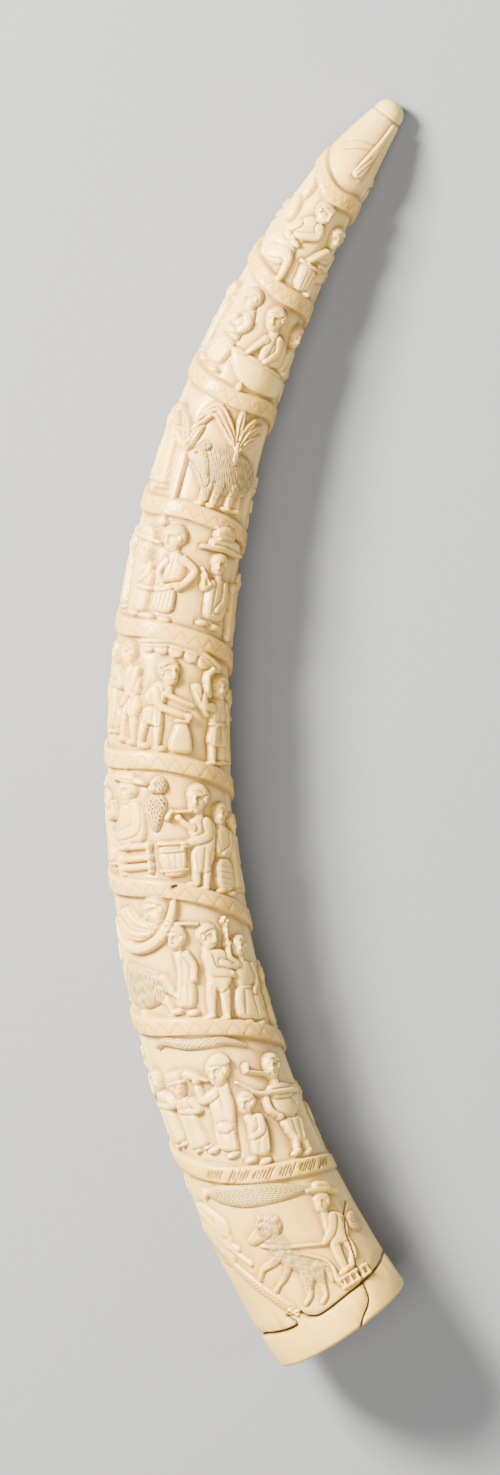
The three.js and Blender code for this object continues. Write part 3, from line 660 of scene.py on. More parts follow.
def row_of_drinker():
    """Snake, two at the left edge, one who drinks from a bottle, a child, one with a pipe and a gun."""
    # Snake, and two at the left edge
    furred(bar([(-30, 160, 1.4), (-24, 161.5, 2), (-12, 157.4, 2.4), (0, 155.6, 2.3), (8, 154.2, 2),
                (19, 148.5, 0.8)]), (-60, 1.3, 1.6, 0.2, 0.9), edge=1.8)
    person(-40, 112, 38, right="folded", face=1)
    person(-24, 107, 37, hat="tall", right="folded", face=1, tilt=-14)

    # Drinker with a bottle
    figure([(-8, 133), (-3.5, 135), (2, 132), (3, 125), (0.5, 116), (-2.5, 108), (-3.5, 100.5), (-14, 104),
            (-13, 112), (-10.5, 120), (-10.5, 128)], feet=((-17, 105.5), (-8, 100)),
           folds=([(-10, 117), (0, 114)], [(-4, 113), (-6, 103)], [(-9, 113), (-10.5, 105)],
                  [(-3, 133), (-4, 122)]))
    lump((-6.5, 114, 4.6, 2.8, -15), ARM_HIGH, 1.8)
    head(0, 141, 6.4, 7.6, -1, -2, hair=False)
    plate([(-5, 144.5), (-3, 148), (2.5, 149.5), (6.5, 147.5), (8, 143.5), (5, 142), (0, 144)], HAT_HIGH, 2)
    limb([(-6, 131, 2.6), (-12.5, 129.5, 2.3), (-13, 136.5, 1.9)], ARM_HIGH, 1.9, 0.45)
    limb([(-16.5, 144, 2.2), (-12.5, 141.8, 2.1), (-10, 140, 1), (-7, 138, 0.8)], HAT_HIGH, 1.4)
    lump((-12.4, 139.4, *HAND_HALF), HAT_HIGH, 1.5, 0.2)

    # Child
    figure([(7, 114.5), (12, 115.5), (15, 112), (14.5, 104.5), (10.5, 92.5), (1, 96), (3.5, 104.5),
            (4.5, 111)], arms=([(12.5, 112.5, 1.9), (10.5, 106, 1.8), (5, 104.5, 1.4)],),
           feet=((0, 94.5), (6.5, 91)), folds=([(8, 103), (5, 96)], [(11, 102), (9, 94)]), edge=2.6)
    head(8.5, 121.5, 5, 5.9, -1, -14)

    # Smoker with a gun
    figure([(22.5, 108), (36.5, 106), (39.5, 101.5), (33, 92), (26, 93), (23.5, 100)],
           legs=([(28, 95, 2.4), (25.5, 89.5, 1.9)], [(33, 95, 2.4), (33.5, 87.5, 1.9)]),
           feet=((24.5, 88.4), (32, 86)), folds=([(29, 105), (28, 94)], [(34, 104), (31.5, 94)]))
    figure([(22, 125.5), (31, 126), (41, 122.5), (47, 117), (41, 109.5), (33, 105), (23, 108.5), (21, 116)],
           arms=([(46, 120, 2.2), (34, 118.5, 2.2), (25, 119.5, 1.7)],
                 [(19.5, 122, 2), (19, 114.5, 2), (23.5, 108.5, 1.7)]),
           folds=([(24, 109), (36, 106.5)], [(34, 116), (38, 109)]))
    head(30.5, 134.5, 5.6, 6.9, -1, -12)
    limb([(7, 132.5, 0.9), (12, 127.5, 1.1), (18, 123, 1.3), (43.5, 118, 1.4)], HAT_HIGH, 1)
    limb([(13.5, 136.5, 0.8), (25, 131.4, 0.8)], HEAD_HIGH, 0.8)
    limb([(13.5, 136.3, 1.3), (14.5, 139, 1.7)], HEAD_HIGH, 1.2)


def row_of_hammock():
    """One carried in a hammock, one bearded in a robe, one with folded arms, a woman, a stalk and a goat."""
    # One in a hammock
    plate([(-44, 224), (-38, 213.5), (-26, 209.5), (-14, 212.5), (-8, 219), (-16, 221), (-26, 221),
           (-33, 228)], edge=3)
    for line in ([(-31, 226, 1.4), (-25, 219.5, 1.5), (-13, 215.6, 1.2)],
                 [(-38, 222, 1.2), (-30, 215, 1.3), (-18, 212.6, 1)]):
        limb(line, edge=1.3, lift=0.6)
    head(-13, 224, 7.4, 7.6, -1, 4)
    strap = [(-2.5, 226, 2), (-5.5, 218.6, 2.5), (-11, 211.6, 2.7), (-19, 207.6, 2.7), (-28, 206.9, 2.6),
             (-37, 210.3, 2.5), (-44, 217, 2.2)]
    limb(strap, HEAD_HIGH, 2)
    limb([(-8, 216.6, 1), (8, 213.8, 0.9)], edge=1)

    # Goat
    for leg in ([(-16, 189, 4), (-12, 184, 2.2), (-9.5, 180.4, 1.2)],
                [(-19, 184, 4), (-15.5, 178.5, 2), (-14, 174, 1.6)], [(-33, 182, 3), (-33.5, 174, 1.8)]):
        limb(leg, edge=1.8)
    furred(outline([(-46, 199), (-38, 201), (-27, 197.5), (-16, 192.5), (-13.5, 186), (-18, 180),
                    (-30, 178), (-46, 182)]), (-8, 0.95, 6, 0.22, 1), edge=3.4)

    # One in a robe, with a beard
    figure([(-4.5, 202), (0.5, 202), (2.5, 195.5), (1, 187), (-0.5, 177), (-3.5, 173.5), (-12.5, 176),
            (-9.5, 184), (-7, 192.5), (-7.5, 198.5)],
           arms=([(-0.5, 200, 2), (2, 194, 1.9), (0.5, 187.5, 1.7)],), feet=((-12, 174), (-4, 171.5)),
           folds=([(-3, 200), (-4, 193), (-5.5, 184.5)], [(-6, 186), (-9, 177)], [(-3, 186), (-4.5, 176)]))
    head(-4, 209, 5.2, 6.4, -1, -8, beard=True)

    # One with folded arms
    figure([(7.5, 197.5), (11.5, 201), (19, 199.5), (23.5, 194.5), (23.5, 188), (21.5, 184), (19, 180),
            (12.5, 177), (6.5, 183), (7.5, 190.5)],
           arms=([(16.5, 192.5, 1.8), (24, 189, 1.6)],
                 [(9.5, 197, 2.4), (11, 189.5, 2.3), (16, 187.5, 2), (21.5, 185.5, 1.8)]),
           legs=([(9, 182, 2.8), (7, 175, 2.3), (5.5, 168, 1.8)],
                 [(15, 178.5, 3.1), (14, 171.5, 2.4), (13, 165, 1.8)]), feet=((4, 167.5), (11, 164.5)),
           folds=([(6.5, 186), (10, 181.5), (12.5, 177.5), (20, 181.5)],))
    head(12, 207, 5.8, 6.6, 1, -8)

    # Woman with a stalk
    figure([(22.5, 179.5), (37, 178), (40.5, 168), (38.5, 157.5), (18.5, 162.5), (18.5, 171.5)],
           feet=((24, 159.5), (33, 157)),
           folds=([(26, 176), (23, 164)], [(31, 176), (31, 161)], [(35, 176), (37, 162)]))
    figure([(24.5, 191), (34, 191.5), (39, 186.5), (37, 178), (27.5, 176), (22.5, 179.5)],
           arms=([(26.5, 190, 1.8), (22, 194.5, 1.7), (22.8, 201.5, 1.4)],
                 [(37, 188, 2), (38, 180, 1.9), (33, 174, 1.6)]))
    head(30.5, 199, 4.6, 5.7, -1, -6)
    limb([(22.5, 203, 0.6), (23.5, 210, 0.6)], edge=0.8)
    for x, y in ((23.5, 214.4), (22.1, 212.8), (24.9, 212.6), (23.5, 211.2)):
        lump((x, y, 1.2, 1.2), edge=0.9)
    person(50, 152, 34)


def row_of_barrel():
    """One seated in a flat straw hat, a monkey, a barrel, one with a pipe and two at the right edge."""
    # Stool and the one seated on it
    for x in (-29, -12.5):
        limb([(x, 255, 1.5), (x, 242.5, 1.4)], edge=1.2)
    for y in (255, 249.4, 245.2):
        limb([(-29, y, 1.6), (-12, y, 1.6)], ARM_HIGH, 1.2)
    limb([(-25, 258, 4), (-31.5, 255, 3.4), (-31, 245, 2.5), (-31.5, 241.5, 2.2)], edge=2.4)
    robe = [(-31, 256), (-31.5, 268), (-28.5, 275), (-24, 278.5), (-17, 278), (-13.2, 273), (-13, 256)]
    figure(robe, arms=([(-18, 274, 2.8), (-18.5, 263.5, 2.6), (-31, 260.5, 2.1)],), edge=4)
    fan(((-26, 275), (-21, 275)), ((-27, 265), (-22, 265)), 2, 0.3)
    head(-22.8, 282, 6.2, 6.6, -1, -3, hair=False)
    plate([(-30, 287.5), (-29.5, 292), (-17, 290.4), (-16, 286)], HAT_HIGH, 1.2, rounds=1)
    limb([(-34, 288.6, 1.5), (-23, 287.4, 1.8), (-12.5, 285.2, 1.5)], HAT_HIGH, 1)
    person(-44, 247, 36, right="raised", face=1)

    # Monkey
    furred(outline([(-12.6, 277), (-8, 279), (-3, 279.5), (-0.6, 275), (-3.2, 269), (-6, 261.5), (-9, 261),
                    (-11.2, 269)]), (30, 1.6, 2.2, 0.5, 1), edge=3)
    lump((-5, 283.8, 4.6, 4.1), HEAD_HIGH, 2.8, seam=0.8)
    hatch(oval(-3.6, 284, 3, 3.4), 20, 1.5, 2, 0.4, 1)
    lump((-8.2, 282.2, 2.2, 1.9), HEAD_HIGH, 1.4)
    score([(-6.6, 284.6), (-6, 284.6)], 0.6, 0.5, 0.6)

    # Barrel
    plate([(-6.8, 255), (6.8, 254.4), (7.4, 247), (5.6, 238.6), (-5, 238.4), (-7.4, 247)], ARM_HIGH, 3)
    for y in (241.5, 251.2):
        limb([(-6.8, y + 0.3, 0.7), (0, y, 0.7), (6.9, y, 0.7)], edge=0.7, lift=0.5)
    fan(((-6.5, 250), (6.5, 250)), ((-5.5, 243), (5.5, 243)), 4, 0.28)
    limb([(-7, 255.2, 1.1), (7, 254.6, 1.1)], HEAD_HIGH, 1)

    # One behind, and a smoker in front
    figure([(24, 246), (36, 244), (35.5, 226.5), (22, 229.5)], feet=((25, 228.4), (33, 226)))
    fan(((24, 243), (22.5, 231)), ((35.5, 241), (35, 228)), 4)
    figure([(24.5, 260), (32, 262.5), (39.5, 257.5), (39, 249.5), (35, 244), (24, 246)],
           arms=([(37, 257, 1.9), (36, 250, 1.8), (29, 247, 1.5)],), folds=([(26, 258), (27, 248)],))
    head(30, 268, 4.4, 5.9, -1, -2)
    figure([(10, 266), (15.5, 268), (22.5, 267), (26, 261.5), (24.5, 252), (22.5, 244.5), (17.5, 238),
            (9.5, 239), (9.5, 248), (12, 254.5), (9.5, 260)],
           arms=([(11.5, 261.5, 1.8), (8, 264, 1.7), (4.5, 267.5, 1.4)],
                 [(19.5, 264, 2.6), (20, 257.5, 2.4), (13, 255, 2.1), (6, 253.5, 1.9)]),
           legs=([(11.5, 240, 2.4), (11, 233.5, 1.9)], [(17.5, 240, 2.4), (16, 231.5, 1.9)]),
           feet=((7.8, 233.4), (14, 230.6)),
           folds=([(22, 250), (18, 241)], [(12, 250), (12, 240)], [(17, 251), (15, 240)]))
    head(16, 276.3, 6.2, 7.8, -1, -3)
    limb([(11, 270, 0.8), (1, 270.5, 0.9)], HEAD_HIGH, 0.8)
    limb([(1, 270.5, 1.3), (-1.2, 267.4, 1.5)], HEAD_HIGH, 1.1)
    person(44, 226, 42, right="down", face=0)


def row_of_canopy():
    """Scalloped canopy, one with a bundle, one bending to a jar, one with a cloth and a raised arm."""
    # Canopy
    rail = [(-17, 353.5), (-9, 354), (-1.5, 354.5), (6.5, 353), (14, 351.5), (21.5, 348), (29, 343.6)]
    for x, y in ((-13.5, 350.4), (-6, 350), (2, 349), (10.5, 347), (18, 344.6)):
        lump((x, y + 0.8, 4, 3.4, -10), DRAPE_HIGH, 1, 0.3)
    limb([(x, y - 1.4, 1.7) for x, y in rail], DRAPE_HIGH, 0.8, 0.2)
    limb([(x, y, 1.3) for x, y in rail], DRESS_HIGH, 1.2)
    person(-38, 309, 44, right="folded", face=1)

    # One with a bundle
    figure([(-27, 339.5), (-20.5, 341.5), (-16, 338), (-15.5, 329.5), (-18.5, 324.5), (-26, 326)],
           legs=([(-19.5, 318, 2.6), (-19, 311.5, 2.2), (-18.5, 305.5, 1.7)],
                 [(-25, 319, 2.6), (-26, 312, 2.2), (-26, 306.5, 1.7)]), feet=((-20, 304.6), (-27.5, 306)),
           folds=([(-22, 340), (-21, 328)],))
    lump((-20.5, 322.5, 5.6, 6), edge=3)
    fan(((-24, 326), (-17, 326)), ((-24, 318), (-17, 318)), 3)
    furred(oval(-31, 316.5, 4.6, 6.4), (0, 1.5, 20, 0.25, 0.4), edge=3)
    limb([(-18, 339.5, 2.2), (-21.5, 329.5, 2.1), (-27, 322.5, 1.8)], ARM_HIGH, 1.9)
    head(-24, 347.3, 5, 6.4, -1, 4)

    # One bending to a jar
    figure([(-10.5, 331.5), (-5.5, 335), (-1.5, 333), (-0.5, 328), (-2.5, 321.5), (-11, 322), (-13, 327)],
           legs=([(-12.5, 314, 2.4), (-14, 308, 2), (-14.5, 303.5, 1.6)],
                 [(-5, 312.5, 2.4), (-5.5, 307, 2), (-5.5, 302.5, 1.6)]), feet=((-13, 303), (-4, 301.5)),
           folds=([(-8, 332), (-9, 324)],))
    plate([(-13, 322.5), (-2.5, 321.5), (-2.5, 311.5), (-14, 314)], edge=2.4, lift=0.7)
    fan(((-12, 320), (-3.5, 319.5)), ((-12.5, 315), (-3.5, 313)), 3)
    jar = [(0.5, 300), (1, 306), (3.5, 311.5), (5, 315), (10, 315.5), (12, 311), (13.5, 305), (13.5, 298.5)]
    plate(jar, edge=3.4)
    limb([(4.6, 315.2, 1), (10.6, 315, 1)], ARM_HIGH, 0.9)
    for arm in ([(-1.5, 328.5, 1.7), (4.5, 326, 1.6), (13, 323, 1.4)],
                [(-7.5, 330, 2.4), (-5, 323, 2.2), (3.5, 319.5, 1.9), (11, 317.6, 1.7)]):
        limb(arm, ARM_HIGH, 1.9, 0.45)
    lump((11, 317.4, 2.2, 2), HEAD_HIGH, 1.4)
    head(-1, 339.5, 6, 7, 1, 4)

    # One with a cloth and a raised arm
    plate([(11, 334), (17, 335), (19.5, 327), (24, 317), (20, 318.5), (15, 326)], edge=1.8)
    score([(13, 333), (17, 327), (21.5, 319)], 0.35)
    person(30, 293, 47, 3, dress="skirt", left="raised", right="down", tilt=4)
    limb([(22, 329, 1.9), (20.5, 338, 1.8), (24, 342, 1.8)], ARM_HIGH, 1.6)
    person(44, 293, 40, face=0)


def row_of_hats():
    """One in a brimmed hat, one bare-headed with a hand on the hip, one in a layered hat, a post."""
    person(-41, 368, 36, face=0)
    # One in a brimmed hat
    figure([(-27, 389.5), (-18, 392), (-14.5, 385), (-16.5, 377.5), (-17, 367), (-25, 367), (-27, 379)],
           arms=([(-18, 390, 1.9), (-19, 385.5, 1.7), (-23.5, 382, 1.5)],),
           feet=((-25, 366.2), (-18, 365.6)), folds=([(-24, 377), (-24, 369)], [(-20, 377), (-20, 369)]))
    limb([(-26.5, 379.5, 1.2), (-16, 378.5, 1.2)], ARM_HIGH, 1)
    head(-22.5, 396, 4.6, 5.6, 1, 8, hair=False)
    plate([(-28, 402), (-26.5, 408.5), (-19, 408), (-17, 401.5)], HAT_HIGH, 1.6, rounds=1)
    limb([(-34, 404, 1), (-24, 402.2, 1.3), (-14.5, 401, 1)], HAT_HIGH, 0.9)
    lump((-16.6, 412, 3, 3), edge=1.6)

    # One with a hand on the hip
    figure([(-10.5, 394), (-5.5, 398.5), (-0.5, 397), (1.5, 391.5), (0, 385), (-11, 381), (-10, 388)],
           feet=((-15, 365.4), (-6, 364.4)), folds=([(-5, 396), (-6, 385)],))
    plate([(-13, 379), (-2, 382), (-1.5, 367.5), (-15, 368)], edge=2.6, lift=0.6)
    fan(((-11.5, 377), (-3, 379)), ((-13, 369), (-3.5, 369)), 4)
    limb([(-12, 379, 1.6), (-1.5, 382, 1.6)], ARM_HIGH, 1.2)
    limb([(-0.5, 395, 2.2), (6, 390.5, 2.1), (3, 384.5, 1.9), (-1.5, 380.5, 1.7)], ARM_HIGH, 1.9)
    limb([(-9.5, 393, 2), (-12.5, 387, 1.9), (-9.5, 381.5, 1.6)], ARM_HIGH, 1.8)
    head(-7.5, 404.8, 6.6, 6.9, -1, 8)

    # One in a layered hat, and a post
    figure([(14.5, 386), (20, 389.5), (27.5, 387.5), (30.5, 379), (29.5, 371), (26, 366.5), (14.5, 368),
            (14.5, 377)],
           arms=([(25.5, 385.5, 2.1), (26, 378.5, 2), (21.5, 372.5, 1.6)],
                 [(16.5, 386, 1.9), (12.5, 383, 1.8), (11.5, 389, 1.5)]), feet=((14.6, 365.2), (23, 363.6)),
           folds=([(19, 387), (18.5, 370)], [(23, 380), (24, 369)]))
    head(19.5, 396.3, 4.8, 6, -1, 8, hair=False)
    for crown in ([(11, 402.5), (11.4, 409), (29, 409.5), (32.5, 403.5)],
                  [(12.4, 408), (13.4, 415.5), (22.5, 416), (27, 408.5)]):
        plate(crown, HAT_HIGH, 1.6, 0.5, rounds=1)
    limb([(7.5, 403.3, 1.2), (18, 403.6, 1.5), (34, 402, 1.2)], HAT_HIGH, 1.1)
    limb([(10, 392.5, 0.9), (15, 385, 0.9)], ARM_HIGH, 0.8)
    limb([(35, 359, 2), (35, 384, 2)], edge=1.6)
    lump((35, 385.5, 3, 2.6), ARM_HIGH, 1.8)
    person(43, 358, 36, face=0)


def row_of_palms():
    """Maned beast between palms, a person at the left edge."""
    fronds = (
        [(12, 455.5), (3.5, 463), (-4.5, 469), (-9.5, 464), (-14, 457)],
        [(11.5, 456.5), (4.5, 465.5), (-3, 472), (-9, 467.5), (-14, 461.5)],
        [(12, 457.5), (10.5, 467), (10, 475.5)],
        [(12.5, 455.5), (15, 466), (19, 472.5)],
        [(13, 454.5), (18, 464.5), (25, 470.5)],
        [(13.5, 453), (18.5, 460), (26.5, 465.5)],
        [(-13, 448), (-20, 455.5), (-28, 455)],
        [(-13, 448), (-18, 460), (-24, 465)],
        [(-13, 448), (-11, 456), (-8, 461)],
    )
    for frond in fronds:
        halves = np.interp(np.arange(len(frond)), (0, 1, len(frond) - 2, len(frond) - 1), FROND_HALVES)
        limb([(x, y, half) for (x, y), half in zip(frond, halves)], edge=0.9)
        score(frond, 0.8, 0.4, 0.2)
    limb([(-13.5, 423, 2.1), (-13, 450, 1.6)], edge=1.6)
    limb([(13.5, 448, 2.2), (12.8, 457, 1.7)], edge=1.6)
    person(-27, 427, 42, right="point", face=1, tilt=10)
    person(-40, 430, 36, face=0)

    # Beast: legs, mane, face, jaw, ear and eye
    for x in (3.5, 9, 18, 24.5):
        limb([(x, 435, 3.2), (x - 0.8, 428, 2.4), (x - 1.4, 424.6, 2)], edge=1.8)
        lump((x - 2.4, 424, 2.9, 1.3), edge=1)
        hatch(bar([(x, 435, 3), (x - 0.8, 428, 2.2)]), 6, 1.1, 4, 0.12, 0.9)
    furred(outline([(-11, 448), (-4.5, 454), (4, 455.5), (14.5, 454), (25, 451), (31, 447), (34, 440),
                    (30, 434), (19, 431), (7, 431), (1, 432)]), (12, 0.9, 6, 0.2, 1), edge=4)
    furred(outline([(-13, 445.5), (-8, 450.5), (-2.5, 450), (0.5, 444), (3.5, 434), (0.5, 430.8),
                    (-2, 433.5), (-6, 439.5)]), (20, 1.1, 2.0, 0.12, 0.5), HEAD_HIGH, 2.6, lift=0.5)
    score([(-11.5, 445.5), (-5.5, 440.8), (-0.5, 435.5), (0.5, 432)], 0.5, 0.35, 0.6)
    lump((-3, 452, 2.6, 2.3), HAT_HIGH, 1.2)
    dent(oval(-3, 452, 1.3, 1.1), 0.8, 0.6)
    score([(-7, 447.4), (-6, 447.6)], 0.7, 0.5, 0.7)


def row_of_canoe():
    """Figure with folded arms, canoe with two rowers."""
    person(-33, 495, 38, 10, face=0)
    # One with folded arms
    figure([(-12, 516.5), (-7.5, 520.5), (-3.5, 517), (-7, 510.5), (-7, 504.5), (-17.5, 507), (-19, 513.5)],
           feet=((-24.5, 492), (-14, 488.6)))
    plate([(-17.5, 507), (-6.5, 505), (-11, 490.5), (-23.5, 493.5)], edge=2.8, lift=0.6)
    fan(((-16, 505), (-8, 504)), ((-21, 494), (-12.5, 492)), 4)
    for arm in ([(-7.5, 519, 2.1), (-5, 515.5, 2.1), (-8, 511, 1.9), (-15.5, 509, 1.6)],
                [(-13.5, 517, 2), (-18, 512.5, 1.9), (-10.5, 509.5, 1.5)]):
        limb(arm, ARM_HIGH, 1.8, 0.45)
    head(-9.5, 527.3, 6, 6.4, -1, 18)
    # Rowers and their canoe
    figure([(5, 510), (8, 516), (15, 517), (22.5, 511), (22.5, 500), (8, 499)],
           folds=([(12, 515), (11, 503)],))
    head(7.5, 523.3, 5.7, 6.4, -1, 18)
    figure([(23, 497), (22.5, 509), (26, 514), (33, 513), (34, 497)])
    head(27, 520, 5, 6.3, -1, 16)
    plate([(-10, 502.5), (-4, 503), (7.5, 501), (32.5, 498), (36, 490), (29, 485.5), (11, 485), (2, 487.5),
           (-4.5, 493)], edge=5)
    score([(-8, 501), (0, 500.2), (10, 498.2), (33, 495.6)], 0.4)
    for arm in ([(6.5, 512, 2), (3.5, 507, 1.8), (0.5, 502.5, 1.5)],
                [(14, 514, 2.2), (15.5, 508, 1.9), (11, 501.5, 1.6)],
                [(31, 510, 2.2), (30, 504, 2), (26, 499.4, 1.6)]):
        limb(arm, ARM_HIGH, 1.9)
    lump((3, 484.6, 1.9, 2.6), ARM_HIGH, 1.3)


def row_of_drum():
    """Crouching figure, drummer on the right and small forms at the edge."""
    # One crouching
    plate([(-22, 549), (-19, 562), (-9, 568), (-1, 563), (0, 553), (-6, 547)], edge=4.5)
    plate([(-11, 561), (-9, 571), (-2, 578), (5, 577), (7, 570), (0, 562)], edge=4)
    limb([(-12, 553, 3.6), (-3, 554.5, 2.9), (-1, 548, 2.1), (-1, 542, 1.8)], ARM_HIGH, 2.3)
    lump((-2.6, 541.5, 3.2, 1.4), edge=1.1)
    head(3, 582, 5.8, 6, 1, -4)
    limb([(5, 574, 2.5), (6.5, 569.5, 2.2), (-4, 564.6, 1.7)], ARM_HIGH, 2)
    limb([(-6, 571, 2.4), (-9, 565, 2.1), (-1, 561, 1.6)], ARM_HIGH, 2)
    score([(-16, 551), (-8, 549.6), (-2, 551.2)], 0.4)
    lump((-13, 589, 3.4, 6), edge=2.4)
    lump((-15, 577, 4, 7, 12), edge=2.4)

    # Drummer and drum
    plate([(15, 551), (15, 565), (19, 569), (25, 567), (27, 552)], edge=4)
    head(19, 574.5, 5.2, 6, -1, 16)
    limb([(25, 553, 3.4), (17, 550.5, 2.8), (18, 541.5, 1.9)], ARM_HIGH, 2.2)
    plate([(5.6, 555.5), (17, 555), (16, 541.5), (7.5, 541.5)], HEAD_HIGH, 3, rounds=1)
    fan(((6.5, 552), (16.5, 552)), ((8, 543), (15.5, 543)), 4, 0.35)
    limb([(5.2, 555.4, 1.1), (17.4, 555, 1.1)], HAT_HIGH, 0.9)
    for arm in ([(17, 565, 2.4), (12.5, 561, 2), (9, 556.6, 1.6)],
                [(25, 564, 2.4), (22, 557.6, 2), (16, 557, 1.6)]):
        limb(arm, ARM_HIGH, 1.9)


def tip():
    """Staff laid along the bare cone, and lines cut round it."""
    limb([(7, 638, 1), (7.5, 628.5, 1.7), (7.5, 620, 2.5), (6.5, 608, 3)], STAFF_HIGH, 1.6)
    for line in ([(7.5, 618.5), (4.5, 608)], [(10, 620.5), (6.8, 607)]):
        score(line, 0.6, 0.3, 0.25)
    score([(8.5, 634.5), (10.8, 620.5), (11.5, 605.5)], 0.8, 0.5, 0.3)
    for line in ([(-11.5, 617.5), (-3, 622), (5.5, 624.5)], [(-8, 614), (-0.5, 618.5), (5, 621)]):
        score(line, 0.6, 0.4, 0.25)


# Plainer people round the back, at these shares of each turn, in dress and pose as they come. They fill
# so much of the row's height, but are no taller than their room around the tusk allows, and those that
# lie nearest to the floor have no features
BACK_SHARES = (0.3, 0.37, 0.435, 0.5, 0.565, 0.63, 0.7)
BACK_DRESS = ("robe", "skirt", "cloth", "robe", "skirt")
BACK_LEFT = ("down", "folded", "akimbo", "hidden")
BACK_RIGHT = ("down", "folded", "akimbo")
BACK_HATS = ("none", "cap", "none", "brim", "none", "tall")
BACK_FILLS = 0.9
BACK_ROOM = 0.42
TALL_BY_ROOM = 2.9
FEATURES_FROM = 0.15


def back_rows():
    def nth(kinds, number):
        return kinds[number % len(kinds)]

    for turn in range(len(BAND_FRONT) - 1):
        for i, share in enumerate(BACK_SHARES):
            foot = band_at(turn + share) + BAND_HALF
            room = band_at(turn + 1 + share) - BAND_HALF - foot
            count = turn * len(BACK_SHARES) + i
            radius = envelope(foot + room / 2)
            tall = min(BACK_FILLS * room, BACK_ROOM * radius * TALL_BY_ROOM)
            sheet.middle = -share * FULL_TURN
            person(0, foot, tall, dress=nth(BACK_DRESS, count), hat=nth(BACK_HATS, count),
                   left=nth(BACK_LEFT, count), right=nth(BACK_RIGHT, count + turn), face=nth((-1, 1), count),
                   features=abs(share - 0.5) > FEATURES_FROM)
    sheet.middle = 0.0


def band(heights):
    """Lays the spiral band over the carving. Returns the heights, and maps of the band's face, of the
    painted shadow just under it, of the place across it and of where it has a zigzag."""
    along = sheet.along[:, None]
    share = ((-sheet.around / FULL_TURN) % 1.0)[None, :]
    on_band, painted_band_shadow, across, zigzag = (np.zeros_like(heights) for _ in range(4))
    for turn in range(-1, len(BAND_FRONT) + 1):
        count = turn + share
        off = along - band_at(count)
        half = STRAP_HALF + (BAND_HALF - STRAP_HALF) * ease(STRAP_UNTIL, count)
        fade = ease(BAND_STARTS, count) - ease(BAND_ENDS, count)
        past_inset = off - half + UPPER_INSET
        level = ease((0, LOWER_SLOPE), off + half) * (1 - ease((0, UPPER_SLOPE), past_inset)) * fade
        crown = 1 - (BAND_CROWN + CORD_CROWN * ease(CORD_UNTIL, count)) * np.minimum((off / half) ** 2, 1)
        top = (cut(along) + BAND_PROUD) * crown
        heights = np.where(level > LEAST_LEVEL, np.maximum(heights, level * top), heights)
        # The honey tone stops short of the upper bevel, whose paler cream is a painted highlight along the
        # band's top edge
        on_band = np.maximum(on_band, level * (1 - ease(FACE_FADES, past_inset)))
        # Painted shadow: darker colour just under the band's lower edge, where its shade falls
        shade = np.exp(-(((off + half + UNDER_BAND) / UNDER_BAND_HALF) ** 2)) * fade
        painted_band_shadow = np.maximum(painted_band_shadow, shade)
        across = np.where(np.abs(off) < half + ZIGZAG_MARGIN, off / half, across)
        zigzag = np.maximum(zigzag, level * ease(ZIGZAG_FROM, count))
    return heights, on_band, painted_band_shadow, across, zigzag


# Strokes across the front of the lowest turn, in mm, and cord marks below it, in shares of a turn: from, to
# and pitch. The cord marks' place along, and two studs at the cord's end
STROKES = (-24, 44, 1.6)
CORD_MARKS = (0.078, 0.3, 0.0052)
CORD_PLACE = 30.0
CORD_STUDS = ((-18.4, 20.6), (-15.6, 18.6))


def engraved_band():
    """Groups of slanting strokes on the lowest turn, a faint zigzag on those above, cord marks below."""
    radius = envelope(BAND_FRONT[1])
    for i, x in enumerate(np.arange(*STROKES)):
        y = float(band_at(1 - x / radius / FULL_TURN)) - 0.3 + 0.5 * float(mixed(i, 5))
        tall = 1.1 + 1.3 * float(mixed(i, 3)) ** 2
        between_groups = math.sin(i * 0.85) <= -0.7
        if not between_groups:
            score([(x - 1.2 * tall, y - tall), (x + 1.2 * tall, y + tall)], 0.55, 0.34, 0.7)
    for turn in range(2, len(BAND_FRONT)):
        radius = envelope(BAND_FRONT[turn])
        step = FULL_TURN / ZIGZAG_COUNT * radius
        for x in (np.arange(-ZIGZAG_SHOWN, ZIGZAG_SHOWN) + 0.5) * step:
            y = float(band_at(turn - x / radius / FULL_TURN))
            foot, peak = y + ZIGZAG_LOW * STRAP_HALF, y + ZIGZAG_TOP * STRAP_HALF
            score([(x - step / 2, foot), (x, peak), (x + step / 2, foot)], ZIGZAG_DEEP, 0.3)
    for share in np.arange(*CORD_MARKS):
        x = -share * FULL_TURN * envelope(CORD_PLACE)
        y = float(band_at(share))
        score([(x - 2.1, y + 0.3), (x + 2.1, y - 0.9)], 0.5, 0.36, 0.35)
    for x, y in CORD_STUDS:
        lump((x, y, 1.9, 1.7), 0, 0.9, 0.8)
        score([(x - 0.3, y), (x + 0.3, y)], 0.7, 0.5, 0.6)


def cracks():
    """Open cracks: along the rim, up from it, and a chip in the band."""
    rim_left = [(-95, 17), (-70, 17.5), (-48, 17), (-37, 15.5), (-28, 14), (-21, 13.5), (-19.3, 14.6),
                (-20.3, 17), (-21.8, 19.5)]
    rim_right = [(-14, 18), (-12, 15), (-9, 13), (-5, 12), (3, 12.5), (13, 13.5), (21, 14), (32.5, 15.5),
                 (42.5, 17.5), (52, 20), (70, 20), (92, 18)]
    upright = [(42.5, 54), (34, 48), (29, 41.5), (27, 33), (24.5, 24.5), (23, 17), (22, 12), (20.5, 6),
               (17, 2.5), (12, -0.5), (8, -4)]
    score(rim_left, 2.8, 0.62, 1.0)
    score(rim_right, 2.6, 0.52, 1.0)
    score(upright, 2.2, 0.42, 1.0)
    score([(-1.8, 233.6), (0.2, 234)], 1.3, 0.8, 1.0)


